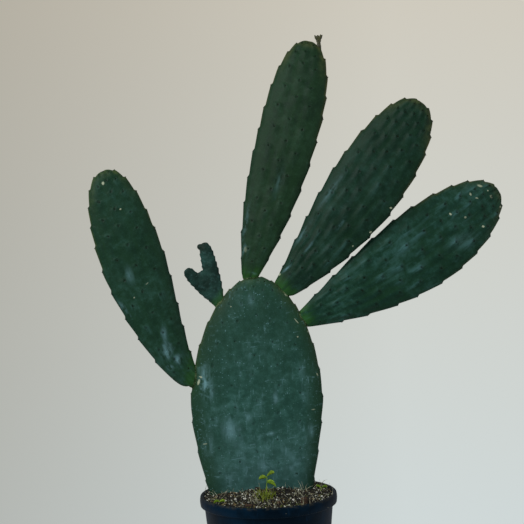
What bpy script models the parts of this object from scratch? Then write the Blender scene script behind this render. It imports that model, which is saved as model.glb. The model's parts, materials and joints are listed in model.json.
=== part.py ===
# A paddle cactus in a round nursery pot. Metres and degrees, Z up, the front faces -Y.
# The origin is the middle of the pot's flat underside.
import math

import bmesh
import bpy
import numpy as np
from mathutils import Vector

# ---- between any two pieces that touch
clearance = 0.0003

# ---- nursery pot
pot_height = 0.1635
pot_foot_radius = 0.0619
pot_wall_lean = 5.8
pot_wall = 0.0015
pot_floor = 0.0022
pot_foot_round = 0.003
lip_reach = 0.0046
lip_height = 0.0115
lip_wall = 0.0016
lip_bulge = 0.0005
drain_hole_radius = 0.00275
drain_hole_ring = 0.75
drain_hole_count = 8
pot_segments = 44

# ---- potting mix
soil_below_rim = 0.0025
soil_mound = 0.0100
soil_roughness = 0.0012
soil_rings = 8

# ---- pads: lengths and half widths in metres, leans in degrees from upright towards +X
# lean_back tips the pad away from the front, turn spins it about its own length
# sits_at and side give the place on the main pad's edge, inset how far inside it
# the main pad's foot has to fit the pot, so its size is in shares of the radius of the pot's mouth
main_pad = {
    "planted_depth": 0.0465,
    "foot_offset_share": 0.058,
    "neck_share": 0.671,
    "length": 0.2987,
    "lean": -2.5,
    "half_width": 0.0792,
    "half_thickness": 0.0140,
    "widest_at": 0.488,
    "base_power": 1.42,
    "tip_power": 1.86,
    "bow": -0.0106,
    "bow_at": 0.185,
    "lean_back": 0.0,
    "turn": 0.0,
    "cup": 0.003,
}
top_pad = {
    "sits_at": 0.9967,
    "side": -1,
    "inset": 0.002,
    "length": 0.2965,
    "lean": 16.2,
    "half_width": 0.0363,
    "half_thickness": 0.0095,
    "neck": 0.0095,
    "widest_at": 0.65,
    "base_power": 2.26,
    "tip_power": 2.26,
    "bow": 0.0033,
    "bow_at": 0.66,
    "lean_back": 2.5,
    "turn": 10.0,
    "cup": 0.004,
}
upper_right_pad = {
    "sits_at": 0.937,
    "side": 1,
    "inset": 0.001,
    "length": 0.2785,
    "lean": 38.6,
    "half_width": 0.0437,
    "half_thickness": 0.0100,
    "neck": 0.0131,
    "widest_at": 0.566,
    "base_power": 1.56,
    "tip_power": 2.36,
    "bow": 0.0062,
    "bow_at": 0.37,
    "lean_back": -3.0,
    "turn": 8.0,
    "cup": -0.003,
}
lower_right_pad = {
    "sits_at": 0.809,
    "side": 1,
    "inset": 0.003,
    "length": 0.2890,
    "lean": 58.8,
    "half_width": 0.0485,
    "half_thickness": 0.0100,
    "neck": 0.0098,
    "widest_at": 0.607,
    "base_power": 1.66,
    "tip_power": 2.07,
    "bow": 0.0081,
    "bow_at": 0.465,
    "lean_back": 4.0,
    "turn": -5.0,
    "cup": 0.003,
}
left_pad = {
    "sits_at": 0.594,
    "side": -1,
    "inset": 0.0057,
    "length": 0.2761,
    "lean": -21.8,
    "half_width": 0.0379,
    "half_thickness": 0.0100,
    "neck": 0.0122,
    "widest_at": 0.569,
    "base_power": 1.39,
    "tip_power": 2.33,
    "bow": -0.0143,
    "bow_at": 0.28,
    "lean_back": -3.0,
    "turn": -7.0,
    "cup": 0.003,
}
forked_finger = {
    "sits_at": 0.900,
    "side": -1,
    "inset": 0.002,
    "length": 0.0762,
    "lean": -12.3,
    "half_width": 0.0092,
    "half_thickness": 0.0046,
    "neck": 0.0062,
    "widest_at": 0.45,
    "base_power": 1.5,
    "tip_power": 3.0,
    "bow": 0.0,
    "bow_at": 0.50,
    "lean_back": -4.0,
    "turn": 12.0,
    "cup": 0.0,
}
forked_thumb = {
    "length": 0.0580,
    "lean": -40.0,
    "half_width": 0.0094,
    "half_thickness": 0.0042,
    "neck": 0.0050,
    "widest_at": 0.58,
    "base_power": 1.6,
    "tip_power": 3.4,
    "bow": -0.001,
    "bow_at": 0.50,
}
forked_palm = {
    "length": 0.0455,
    "lean": -30.0,
    "half_width": 0.0108,
    "half_thickness": 0.0048,
    "neck": 0.0062,
    "widest_at": 0.66,
    "base_power": 1.6,
    "tip_power": 3.0,
    "bow": 0.0,
    "bow_at": 0.50,
}
finger_knob_at = 0.96
finger_knob_radius = 0.0032
pad_squareness = 2.3
pad_root = 0.007
rings_to_widest = 9
rings_to_tip = 9
points_around = 20

# ---- bud on the top pad's tip
bud_sits_at = 0.984
bud_height = 0.0145
bud_foot_radius = 0.0019
bud_crown_radius = 0.0040
bud_lean = -18.0

# ---- seedlings: place on the mix in shares of the mouth's radius, stem height,
# then lean, turn, length and height of each leaf
seedling_stem_radius = 0.0008
seedling_root = 0.004
seedlings = {
    "seedling_centre": {
        "place": (-0.039, -0.597),
        "height": 0.026,
        "lean": 4.0,
        "leaves": [(15.0, 200.0, 0.010, 0.92), (40.0, 15.0, 0.010, 0.98), (0.0, 335.0, 0.013, 0.72)],
    },
    "seedling_left": {
        "place": (-0.734, -0.591),
        "height": 0.003,
        "lean": -8.0,
        "leaves": [(12.0, 190.0, 0.007, 0.85), (15.0, 350.0, 0.007, 0.9)],
    },
    "seedling_right": {
        "place": (0.812, -0.182),
        "height": 0.006,
        "lean": 10.0,
        "leaves": [(35.0, 150.0, 0.007, 0.8), (25.0, 10.0, 0.007, 0.9)],
    },
}

# ---- loose pieces on the mix: place in shares of the mouth's radius, then length, width and height, then turn
bark_chips = {
    "bark_chip_1": ((0.526, -0.727), (0.0100, 0.0075, 0.0085), 25.0),
    "bark_chip_2": ((-0.286, -0.844), (0.0100, 0.0045, 0.0032), -12.0),
    "bark_chip_3": ((0.156, -0.792), (0.0070, 0.0040, 0.0030), 48.0),
}
perlite_grains = {
    "perlite_grain_1": ((-0.565, -0.338), 0.0034),
    "perlite_grain_2": ((-0.500, -0.532), 0.0030),
    "perlite_grain_3": ((-0.351, -0.571), 0.0029),
    "perlite_grain_4": ((0.279, -0.519), 0.0030),
    "perlite_grain_5": ((0.370, -0.701), 0.0034),
    "perlite_grain_6": ((0.026, -0.351), 0.0028),
}
loose_piece_sunk = 0.3

for old in list(bpy.data.objects):
    bpy.data.objects.remove(old, do_unlink=True)


# ---- materials
def material(name, colour, roughness, metallic=0.0):
    made = bpy.data.materials.new(name)
    made.use_nodes = True
    shader = made.node_tree.nodes["Principled BSDF"]
    shader.inputs["Base Color"].default_value = (*colour, 1.0)
    shader.inputs["Roughness"].default_value = roughness
    shader.inputs["Metallic"].default_value = metallic
    return made


pot_plastic = material("pot_plastic", (0.006, 0.013, 0.024), 0.42)
soil_brown = material("soil_brown", (0.035, 0.028, 0.018), 0.95)
main_pad_skin = material("main_pad_skin", (0.030, 0.085, 0.065), 0.55)
top_pad_skin = material("top_pad_skin", (0.018, 0.048, 0.022), 0.50)
upper_right_skin = material("upper_right_pad_skin", (0.020, 0.052, 0.032), 0.48)
lower_right_skin = material("lower_right_pad_skin", (0.019, 0.058, 0.037), 0.46)
left_pad_skin = material("left_pad_skin", (0.016, 0.048, 0.028), 0.50)
forked_pad_skin = material("forked_pad_skin", (0.018, 0.050, 0.040), 0.52)
bud_skin = material("bud_skin", (0.075, 0.085, 0.030), 0.60)
seedling_green = material("seedling_green", (0.110, 0.210, 0.020), 0.45)
bark_brown = material("bark_brown", (0.070, 0.040, 0.020), 0.85)
perlite_white = material("perlite_white", (0.620, 0.610, 0.560), 0.90)


# ---- making and cutting solids
def solid(name, points, faces, finish, smooth=True):
    # in triangles, so that a grown copy of it is parallel to it everywhere
    mesh = bpy.data.meshes.new(name)
    mesh.from_pydata([tuple(point) for point in points], [], faces)
    shape = bmesh.new()
    shape.from_mesh(mesh)
    bmesh.ops.recalc_face_normals(shape, faces=shape.faces)
    bmesh.ops.triangulate(shape, faces=shape.faces)
    shape.to_mesh(mesh)
    shape.free()
    mesh.polygons.foreach_set("use_smooth", [smooth] * len(mesh.polygons))
    made = bpy.data.objects.new(name, mesh)
    bpy.context.scene.collection.objects.link(made)
    if finish:
        made.data.materials.append(finish)
    return made


def grown_copy(piece, name, amount):
    # the same solid with every point pushed outwards, so that what it cuts keeps clear of it
    copy = piece.copy()
    copy.data = piece.data.copy()
    copy.name = name
    copy.modifiers.clear()
    pushes = [vertex.normal.copy() for vertex in copy.data.vertices]
    for vertex, push in zip(copy.data.vertices, pushes):
        vertex.co += push * amount
    bpy.context.scene.collection.objects.link(copy)
    return as_cutter(copy)


def as_cutter(piece):
    piece.hide_render = True
    piece.display_type = "WIRE"
    return piece


def combine(piece, other, operation):
    joint = piece.modifiers.new(f"{operation.lower()}_{other.name}", "BOOLEAN")
    joint.operation = operation
    joint.solver = "EXACT"
    joint.object = other


def rings_to_faces(ring_count, around, closed_start, closed_end):
    # quads between rings, then a fan at each closed end, whose middle point comes last
    faces = []
    for ring in range(ring_count - 1):
        for k in range(around):
            after = (k + 1) % around
            low = ring * around
            high = low + around
            faces.append((low + k, low + after, high + after, high + k))
    middle = ring_count * around
    if closed_start:
        faces += [(middle, (k + 1) % around, k) for k in range(around)]
        middle += 1
    if closed_end:
        top = (ring_count - 1) * around
        faces += [(middle, top + k, top + (k + 1) % around) for k in range(around)]
    return faces


# ---- pads
def pad_axes(pad):
    # along its length, across its width and out of its front face
    lean = math.radians(pad["lean"])
    back = math.radians(pad["lean_back"])
    turn = math.radians(pad["turn"])
    along = np.array((math.sin(lean) * math.cos(back), math.sin(back), math.cos(lean) * math.cos(back)))
    flat_across = np.array((math.cos(lean), 0.0, -math.sin(lean)))
    flat_out = np.cross(flat_across, along)
    across = flat_across * math.cos(turn) + flat_out * math.sin(turn)
    out = np.cross(across, along)
    return along, across, out


def pad_half_width(pad, at):
    # swells from the neck to the widest place, then closes in a rounded end
    widest = pad["widest_at"]
    if at < widest:
        before = 1.0 - max(at, 0.0) / widest
        return pad["neck"] + (pad["half_width"] - pad["neck"]) * (1.0 - before ** pad["base_power"])
    past = min((at - widest) / (1.0 - widest), 1.0)
    power = pad["tip_power"]
    return pad["half_width"] * (1.0 - past**power) ** (1.0 / power)


def pad_half_thickness(pad, at):
    # nearly even along the pad, a little thinner at the neck, closing with the rounded end
    ratio = pad_half_width(pad, at) / pad["half_width"]
    return pad["half_thickness"] * (1.0 - (1.0 - ratio) ** 2)


def pad_middle(pad, at):
    along, across, out = pad_axes(pad)
    bent = max(at, 0.0) ** (math.log(0.5) / math.log(pad["bow_at"]))
    sideways = pad["bow"] * 4.0 * bent * (1.0 - bent)
    dished = pad["cup"] * 4.0 * max(at, 0.0) * (1.0 - at)
    return pad["base"] + along * pad["length"] * at + across * sideways + out * dished


def pad_edge(pad, at, side):
    across = pad_axes(pad)[1]
    return pad_middle(pad, at) + across * side * pad_half_width(pad, at)


def pad_stations(pad, root):
    # places along the pad, each with how far its section has closed: root end, neck, widest, tip
    start = -root / pad["length"]
    rounding = 1.2 * pad["half_thickness"] / pad["length"]
    stations = []
    for angle in (35.0, 65.0):
        turned = math.radians(angle)
        stations.append((start + rounding * (1.0 - math.cos(turned)), math.sin(turned)))
    first = start + rounding
    for k in range(rings_to_widest):
        share = (k / rings_to_widest) ** 1.2
        stations.append((first + (pad["widest_at"] - first) * share, 1.0))
    for k in range(rings_to_tip):
        turned = math.radians(90.0 * k / rings_to_tip)
        stations.append((pad["widest_at"] + (1.0 - pad["widest_at"]) * math.sin(turned), 1.0))
    return start, stations


def pad_solid(name, pad, finish, root=pad_root):
    along, across, out = pad_axes(pad)
    start, stations = pad_stations(pad, root)
    points = []
    for at, closing in stations:
        middle = pad_middle(pad, at)
        half_width = pad_half_width(pad, at) * closing
        half_thickness = pad_half_thickness(pad, at) * closing
        for k in range(points_around):
            angle = 2.0 * math.pi * k / points_around
            wide = abs(math.cos(angle)) ** (2.0 / pad_squareness) * math.copysign(1.0, math.cos(angle))
            thick = abs(math.sin(angle)) ** (2.0 / pad_squareness) * math.copysign(1.0, math.sin(angle))
            points.append(middle + across * wide * half_width + out * thick * half_thickness)
    points.append(pad_middle(pad, start))
    points.append(pad_middle(pad, 1.0))
    faces = rings_to_faces(len(stations), points_around, True, True)
    return solid(name, points, faces, finish)


def seated(pad, on):
    # the pad's base on the edge of the pad that it grew from
    edge = pad_edge(on, pad["sits_at"], pad["side"])
    middle = pad_middle(on, pad["sits_at"])
    inwards = (middle - edge) / np.linalg.norm(middle - edge)
    return {**pad, "base": edge + inwards * pad["inset"]}


def ball(name, centre, radius, finish, rings=8, around=12):
    points = []
    for ring in range(1, rings):
        polar = math.pi * ring / rings
        for k in range(around):
            angle = 2.0 * math.pi * k / around
            side = Vector((math.cos(angle), math.sin(angle), 0.0)) * math.sin(polar)
            points.append(Vector(centre) + (side + Vector((0.0, 0.0, math.cos(polar)))) * radius)
    points.append(Vector(centre) + Vector((0.0, 0.0, radius)))
    points.append(Vector(centre) - Vector((0.0, 0.0, radius)))
    return solid(name, points, rings_to_faces(rings - 1, around, True, True), finish)


# ---- nursery pot
def wall_radius(height):
    return pot_foot_radius + height * math.tan(math.radians(pot_wall_lean))


def inner_radius(height):
    return wall_radius(height) - pot_wall / math.cos(math.radians(pot_wall_lean))


def on_mix(place):
    # a place given in shares of the mouth's radius
    return [share * inner_radius(pot_height) for share in place]


def arc(centre, radius, start, end, steps):
    # points (distance from the axis, height) on part of a circle, angles in degrees
    angles = [math.radians(start + (end - start) * k / steps) for k in range(steps + 1)]
    return [(centre[0] + radius * math.cos(a), centre[1] + radius * math.sin(a)) for a in angles]


def pot_profile():
    lip_foot = pot_height - lip_height
    lip_round = lip_wall
    outside = wall_radius(lip_foot) + lip_reach
    hollow_top = pot_height - lip_wall
    foot = arc((pot_foot_radius - pot_foot_round, pot_foot_round), pot_foot_round, -90.0, 0.0, 3)
    under_lip = [
        (wall_radius(hollow_top), hollow_top),
        (outside - lip_wall, hollow_top),
        (outside - lip_wall, lip_foot),
        (outside - 0.3 * lip_wall, lip_foot - 0.2 * lip_wall),
    ]
    lip_side = [
        (outside, lip_foot + 0.25 * lip_wall),
        (outside + lip_bulge, lip_foot + 0.45 * lip_height),
    ]
    lip_top = arc((outside - lip_round, pot_height - lip_round), lip_round, 0.0, 90.0, 4)
    inner_round = 2.0 * pot_wall
    inner_top = [
        (inner_radius(pot_height) + inner_round, pot_height),
        (inner_radius(pot_height) + 0.4 * inner_round, pot_height - 0.25 * inner_round),
        (inner_radius(pot_height - inner_round), pot_height - inner_round),
    ]
    underside = [(0.0, 0.0)]
    inside = inner_top + [(inner_radius(pot_floor), pot_floor), (0.0, pot_floor)]
    return underside + foot + under_lip + lip_side + lip_top + inside


def turned(name, profile, finish):
    # a profile of (distance from the axis, height) points, listed up the outside and down the inside
    mesh = bpy.data.meshes.new(name)
    points = [(radius, 0.0, height) for radius, height in reversed(profile)]
    mesh.from_pydata(points, [(k, k + 1) for k in range(len(points) - 1)], [])
    made = bpy.data.objects.new(name, mesh)
    bpy.context.scene.collection.objects.link(made)
    mesh.materials.append(finish)
    screw = made.modifiers.new("turn", "SCREW")
    screw.axis = "Z"
    screw.angle = 2.0 * math.pi
    screw.steps = pot_segments
    screw.render_steps = pot_segments
    screw.use_merge_vertices = True
    screw.merge_threshold = 0.0001
    screw.use_smooth_shade = True
    return made


def nursery_pot():
    pot = turned("nursery_pot", pot_profile(), pot_plastic)
    hole_points = []
    hole_faces = []
    around = 14
    for hole in range(drain_hole_count):
        toward = 2.0 * math.pi * (hole + 0.5) / drain_hole_count
        ring = pot_foot_radius * drain_hole_ring
        middle = Vector((ring * math.cos(toward), ring * math.sin(toward), 0.0))
        first = len(hole_points)
        for height in (-pot_floor, 2.0 * pot_floor):
            for k in range(around):
                angle = 2.0 * math.pi * k / around
                side = Vector((math.cos(angle), math.sin(angle), 0.0)) * drain_hole_radius
                hole_points.append(middle + side + Vector((0.0, 0.0, height)))
        hole_points.append(middle + Vector((0.0, 0.0, -pot_floor)))
        hole_points.append(middle + Vector((0.0, 0.0, 2.0 * pot_floor)))
        for face in rings_to_faces(2, around, True, True):
            hole_faces.append(tuple(first + corner for corner in face))
    holes = as_cutter(solid("drain_hole_cutter", hole_points, hole_faces, None, smooth=False))
    combine(pot, holes, "DIFFERENCE")
    return pot


# ---- potting mix
def soil_height(x, y):
    # mounded at the plant, level with the pot's rim at the wall, and uneven
    rim = inner_radius(pot_height)
    out = min(math.hypot(x, y) / rim, 1.0)
    mound = soil_mound * (1.0 - out**2)
    uneven = math.sin(x * 170.0 + 1.3) * math.cos(y * 210.0 - 0.4) + 0.6 * math.sin((x + y) * 390.0)
    return pot_height - soil_below_rim + mound + soil_roughness * uneven * (1.0 - out**4)


def potting_mix():
    bottom = pot_floor + clearance
    edge_height = soil_height(inner_radius(pot_height), 0.0)
    points = []
    for height in (bottom, edge_height):
        radius = inner_radius(height) - clearance
        for k in range(pot_segments):
            angle = 2.0 * math.pi * k / pot_segments
            points.append((radius * math.cos(angle), radius * math.sin(angle), height))
    top_radius = inner_radius(edge_height) - clearance
    for ring in range(1, soil_rings):
        radius = top_radius * (1.0 - ring / soil_rings)
        for k in range(pot_segments):
            angle = 2.0 * math.pi * k / pot_segments
            x = radius * math.cos(angle)
            y = radius * math.sin(angle)
            points.append((x, y, soil_height(x, y)))
    points.append((0.0, 0.0, bottom))
    points.append((0.0, 0.0, soil_height(0.0, 0.0)))
    faces = rings_to_faces(soil_rings + 1, pot_segments, True, True)
    return solid("potting_mix", points, faces, soil_brown)


# ---- bud
def tip_bud(on):
    # a narrow foot that flares to a notched crown, growing from the shoulder of the top pad
    foot = pad_edge(on, bud_sits_at, 1)
    lean = math.radians(on["lean"] + bud_lean)
    up = Vector((math.sin(lean), 0.0, math.cos(lean)))
    side = Vector((math.cos(lean), 0.0, -math.sin(lean)))
    front = Vector((0.0, -1.0, 0.0))
    around = 16
    middle_radius = 0.75 * bud_foot_radius
    profile = [
        (-0.25, bud_foot_radius),
        (0.15, bud_foot_radius),
        (0.40, middle_radius),
        (0.70, 0.85 * bud_crown_radius),
        (0.92, bud_crown_radius),
    ]
    points = []
    for share, radius in profile:
        for k in range(around):
            angle = 2.0 * math.pi * k / around
            notch = 0.82 if share > 0.8 and k % 4 == 0 else 1.0
            flat = side * math.cos(angle) + front * math.sin(angle) * 0.75
            points.append(Vector(foot) + up * share * bud_height + flat * radius * notch)
    points.append(Vector(foot) + up * profile[0][0] * bud_height)
    points.append(Vector(foot) + up * 0.80 * bud_height)
    faces = rings_to_faces(len(profile), around, True, True)
    return solid("tip_bud", points, faces, bud_skin)


# ---- seedlings
def leaf(name, foot, lean, turned, length, finish):
    # an oval blade, widest past its middle and lightly domed
    pitch = math.radians(lean)
    yaw = math.radians(turned)
    flat = Vector((math.cos(yaw), math.sin(yaw), 0.0))
    along = flat * math.cos(pitch) + Vector((0.0, 0.0, math.sin(pitch)))
    across = Vector((-math.sin(yaw), math.cos(yaw), 0.0))
    up = along.cross(across)
    around = 10
    rings = 7
    points = []
    for ring in range(1, rings):
        share = 0.5 - 0.5 * math.cos(math.pi * ring / rings)
        swell = math.sin(math.pi * ring / rings)
        half_width = 0.27 * length * swell * (0.75 + 0.5 * share)
        half_thickness = 0.07 * length * swell
        for k in range(around):
            angle = 2.0 * math.pi * k / around
            spot = Vector(foot) + along * length * share + up * 0.08 * length * swell
            points.append(spot + across * half_width * math.cos(angle) + up * half_thickness * math.sin(angle))
    points.append(Vector(foot))
    points.append(Vector(foot) + along * length)
    return solid(name, points, rings_to_faces(rings - 1, around, True, True), finish)


def seedling(name, size, soil):
    x, y = on_mix(size["place"])
    ground = soil_height(x, y)
    lean = math.radians(size["lean"])
    up = Vector((math.sin(lean), 0.0, math.cos(lean)))
    root = Vector((x, y, ground)) - up * seedling_root
    tall = size["height"] + seedling_root
    around = 8
    points = []
    for share, radius in ((0.0, 0.8), (0.15, 1.0), (0.9, 0.8), (1.0, 0.55)):
        for k in range(around):
            angle = 2.0 * math.pi * k / around
            side = Vector((math.cos(angle), math.sin(angle), 0.0)) * seedling_stem_radius * radius
            points.append(root + up * tall * share + side)
    points.append(root)
    points.append(root + up * tall * 1.02)
    stem = solid(name, points, rings_to_faces(4, around, True, True), seedling_green)
    combine(soil, grown_copy(stem, f"{name}_root_cutter", clearance), "DIFFERENCE")
    for number, (pitch, turned, length, share) in enumerate(size["leaves"]):
        foot = Vector((x, y, ground)) + up * size["height"] * share
        yaw = math.radians(turned)
        inside = Vector((math.cos(yaw), math.sin(yaw), 0.0)) * 0.4 * seedling_stem_radius
        blade = leaf(f"{name}_leaf_{number}", foot - inside, pitch, turned, length, seedling_green)
        combine(stem, as_cutter(blade), "UNION")
    return stem


# ---- loose pieces on the mix
def loose_piece(name, place, size, turned, finish, soil, squareness):
    # an irregular lump, bedded in the mix for part of its height
    x, y = on_mix(place)
    length, width, height = size
    centre = Vector((x, y, soil_height(x, y) + height * (0.5 - loose_piece_sunk)))
    yaw = math.radians(turned)
    along = Vector((math.cos(yaw), math.sin(yaw), 0.0))
    across = Vector((-math.sin(yaw), math.cos(yaw), 0.0))
    around = 8
    rings = 5
    points = []
    for ring in range(1, rings):
        polar = math.pi * ring / rings
        for k in range(around):
            angle = 2.0 * math.pi * (k + 0.5 * (ring % 2)) / around
            rough = 1.0 + 0.10 * math.sin(5.0 * angle + 3.0 * ring + 40.0 * x)
            flat = math.sin(polar) ** squareness * rough
            spot = centre + along * 0.5 * length * flat * math.cos(angle)
            spot += across * 0.5 * width * flat * math.sin(angle)
            points.append(spot + Vector((0.0, 0.0, 0.5 * height * math.cos(polar))))
    points.append(centre + Vector((0.0, 0.0, 0.5 * height)))
    points.append(centre - Vector((0.0, 0.0, 0.5 * height)))
    lump = solid(name, points, rings_to_faces(rings - 1, around, True, True), finish, smooth=False)
    combine(soil, grown_copy(lump, f"{name}_bed_cutter", 1.15 * clearance), "DIFFERENCE")
    return lump


# ---- assembly
def main():
    nursery_pot()
    soil = potting_mix()

    soil_line = soil_height(0.0, 0.0)
    mouth = inner_radius(pot_height)
    foot = main_pad["foot_offset_share"] * mouth
    base = np.array((foot, 0.0, soil_line - main_pad["planted_depth"]))
    trunk = {**main_pad, "base": base, "neck": main_pad["neck_share"] * mouth}
    trunk_solid = pad_solid("main_pad", trunk, main_pad_skin, root=0.0)
    trunk_cutter = grown_copy(trunk_solid, "main_pad_cutter", clearance)
    combine(soil, trunk_cutter, "DIFFERENCE")

    grown = {}
    for name, pad, skin in (
        ("top_pad", top_pad, top_pad_skin),
        ("upper_right_pad", upper_right_pad, upper_right_skin),
        ("lower_right_pad", lower_right_pad, lower_right_skin),
        ("left_pad", left_pad, left_pad_skin),
    ):
        grown[name] = seated(pad, trunk)
        branch = pad_solid(name, grown[name], skin)
        combine(branch, trunk_cutter, "DIFFERENCE")

    finger = seated(forked_finger, trunk)
    thumb = {**finger, **forked_thumb}
    palm = {**finger, **forked_palm}
    forked = pad_solid("forked_pad", finger, forked_pad_skin)
    combine(forked, as_cutter(pad_solid("forked_thumb", thumb, None)), "UNION")
    combine(forked, as_cutter(pad_solid("forked_palm", palm, None)), "UNION")
    knob = ball("finger_knob", pad_edge(finger, finger_knob_at, -1), finger_knob_radius, None)
    combine(forked, as_cutter(knob), "UNION")
    combine(forked, trunk_cutter, "DIFFERENCE")

    bud = tip_bud(grown["top_pad"])
    top_cutter = grown_copy(bpy.data.objects["top_pad"], "top_pad_cutter", clearance)
    combine(bud, top_cutter, "DIFFERENCE")

    for name, size in seedlings.items():
        seedling(name, size, soil)
    for name, (place, size, turned) in bark_chips.items():
        loose_piece(name, place, size, turned, bark_brown, soil, 0.6)
    for name, (place, width) in perlite_grains.items():
        loose_piece(name, place, (width, 0.9 * width, 0.85 * width), 30.0, perlite_white, soil, 0.9)


main()
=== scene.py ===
import math
import bmesh
import bpy
import numpy as np
from mathutils import Matrix, Vector, noise
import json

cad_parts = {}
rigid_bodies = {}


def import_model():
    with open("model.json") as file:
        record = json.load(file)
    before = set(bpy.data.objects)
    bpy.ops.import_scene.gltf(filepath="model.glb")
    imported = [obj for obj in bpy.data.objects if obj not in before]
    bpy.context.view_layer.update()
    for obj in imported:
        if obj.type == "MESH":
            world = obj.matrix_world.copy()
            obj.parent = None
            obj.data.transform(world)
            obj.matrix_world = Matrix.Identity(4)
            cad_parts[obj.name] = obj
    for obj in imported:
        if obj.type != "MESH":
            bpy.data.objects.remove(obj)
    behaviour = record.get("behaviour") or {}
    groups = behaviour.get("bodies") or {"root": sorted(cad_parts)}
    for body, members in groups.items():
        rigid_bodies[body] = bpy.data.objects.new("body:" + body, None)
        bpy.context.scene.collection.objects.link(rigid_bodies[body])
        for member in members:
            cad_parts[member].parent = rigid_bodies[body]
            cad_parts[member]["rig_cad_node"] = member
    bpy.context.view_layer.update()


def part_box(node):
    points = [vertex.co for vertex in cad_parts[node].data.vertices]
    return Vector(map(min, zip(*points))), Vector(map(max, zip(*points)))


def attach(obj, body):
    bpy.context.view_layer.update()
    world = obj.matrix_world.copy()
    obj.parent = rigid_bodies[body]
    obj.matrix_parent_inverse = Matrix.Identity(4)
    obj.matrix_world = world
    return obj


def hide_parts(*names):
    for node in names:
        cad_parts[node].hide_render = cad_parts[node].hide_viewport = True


for old in list(bpy.data.objects):
    bpy.data.objects.remove(old, do_unlink=True)
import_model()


# sums on node wires
class Wire:
    # one value in a node tree, so that a rule is written as a sum
    def __init__(self, socket):
        self.socket = socket
        self.tree = socket.id_data

    def math(self, operation, *others):
        return wire(self.tree, "ShaderNodeMath", dict(enumerate((self, *others))), operation=operation)

    def __rsub__(self, other):
        return self * -1.0 + other

    def smooth(self, low, high):
        # 0 at low, 1 at high, eased between them
        inputs = {"Value": self, "From Min": low, "From Max": high}
        return wire(self.tree, "ShaderNodeMapRange", inputs, "Result", interpolation_type="SMOOTHSTEP")

    def clamp(self):
        return self.math("MAXIMUM", 0.0).math("MINIMUM", 1.0)


sums = {"add": "ADD", "radd": "ADD", "sub": "SUBTRACT", "mul": "MULTIPLY", "rmul": "MULTIPLY",
        "truediv": "DIVIDE", "pow": "POWER"}
for word, operation in sums.items():
    setattr(Wire, f"__{word}__", lambda self, other, operation=operation: self.math(operation, other))


def tint(code):
    # a screen colour such as 2f5a3c, as the scene's own
    parts = [int(code[k : k + 2], 16) / 255.0 for k in (0, 2, 4)]
    return tuple(p / 12.92 if p <= 0.04045 else ((p + 0.055) / 1.055) ** 2.4 for p in parts) + (1.0,)


def feed(slot, value):
    if isinstance(value, Wire):
        slot.id_data.links.new(value.socket, slot)
    else:
        slot.default_value = tint(value) if slot.type == "RGBA" and isinstance(value, str) else value


def addNode(tree, kind, inputs=None, **settings):
    node = tree.nodes.new(kind)
    for name, value in settings.items():
        setattr(node, name, value)
    for name, value in (inputs or {}).items():
        feed(node.inputs[name], value)
    return node


def wire(tree, kind, inputs=None, output=0, **settings):
    return Wire(addNode(tree, kind, inputs, **settings).outputs[output])


def treeOf(*values):
    return next(value.tree for value in values if isinstance(value, Wire))


def split(vector):
    return [Wire(output) for output in addNode(vector.tree, "ShaderNodeSeparateXYZ", {0: vector}).outputs]


def join(x, y, z):
    return wire(treeOf(x, y, z), "ShaderNodeCombineXYZ", {0: x, 1: y, 2: z})


def vectorMath(operation, first, second, slot=1, output=0):
    inputs = {0: first, slot: second}
    return wire(treeOf(first, second), "ShaderNodeVectorMath", inputs, output, operation=operation)


def vectorSum(first, *others):
    for other in others:
        first = vectorMath("ADD", first, other)
    return first


def scaled(vector, amount):
    return vectorMath("SCALE", vector, amount, "Scale")


def stretched(vector, amounts):
    return vectorMath("MULTIPLY", vector, amounts)


def cloud(place, scale, detail=3.0, roughness=0.55):
    # soft noise, 0 to 1; scale is in bumps per metre
    inputs = {"Vector": place, "Scale": scale, "Detail": detail, "Roughness": roughness}
    return wire(place.tree, "ShaderNodeTexNoise", inputs)


def cells(place, scale):
    # distance to the nearest cell middle, and that cell's own number
    node = addNode(place.tree, "ShaderNodeTexVoronoi", {"Vector": place, "Scale": scale})
    return Wire(node.outputs["Distance"]), split(Wire(node.outputs["Color"]))[0]


# geometry trees
def spoken(key):
    # the label of a tree's input: halfWidth is Half Width
    return "".join(" " + letter if letter.isupper() else letter for letter in key).title()


def newTree(name, numbers, **others):
    # the tree, and its inputs by key; numbers holds their defaults, others their kinds
    tree = bpy.data.node_groups.new(name, "GeometryNodeTree")
    kinds = {float: "Float", int: "Int", tuple: "Vector"}
    tree.interface.new_socket("Geometry", in_out="OUTPUT", socket_type="NodeSocketGeometry")
    given = {"shape": "Geometry", **{key: kinds[type(value)] for key, value in numbers.items()}, **others}
    for key, kind in given.items():
        made = tree.interface.new_socket(spoken(key), in_out="INPUT", socket_type="NodeSocket" + kind)
        if key in numbers:
            made.default_value = numbers[key]
    start = tree.nodes.new("NodeGroupInput")
    return tree, {key: Wire(start.outputs[spoken(key)]) for key in given}


def closeTree(shape, finish):
    # realised, shaded smooth and given its material
    tree = shape.tree
    real = wire(tree, "GeometryNodeRealizeInstances", {"Geometry": shape})
    shade = wire(tree, "GeometryNodeSetShadeSmooth", {"Geometry": real, "Shade Smooth": True})
    paint = wire(tree, "GeometryNodeSetMaterial", {"Geometry": shade, "Material": finish})
    feed(tree.nodes.new("NodeGroupOutput").inputs[0], paint)
    return tree


def store(shape, label, value, kind="FLOAT_VECTOR", domain="POINT"):
    inputs = {"Geometry": shape, "Name": label, "Value": value}
    return wire(shape.tree, "GeometryNodeStoreNamedAttribute", inputs, data_type=kind, domain=domain)


def recall(tree, label, kind="FLOAT"):
    return wire(tree, "GeometryNodeInputNamedAttribute", {"Name": label}, data_type=kind)


def moved(shape, place):
    return wire(shape.tree, "GeometryNodeSetPosition", {"Geometry": shape, "Position": place})


def randomVector(tree, seed, low, high):
    return wire(tree, "FunctionNodeRandomValue", {"Seed": seed, 0: low, 1: high}, data_type="FLOAT_VECTOR")


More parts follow.
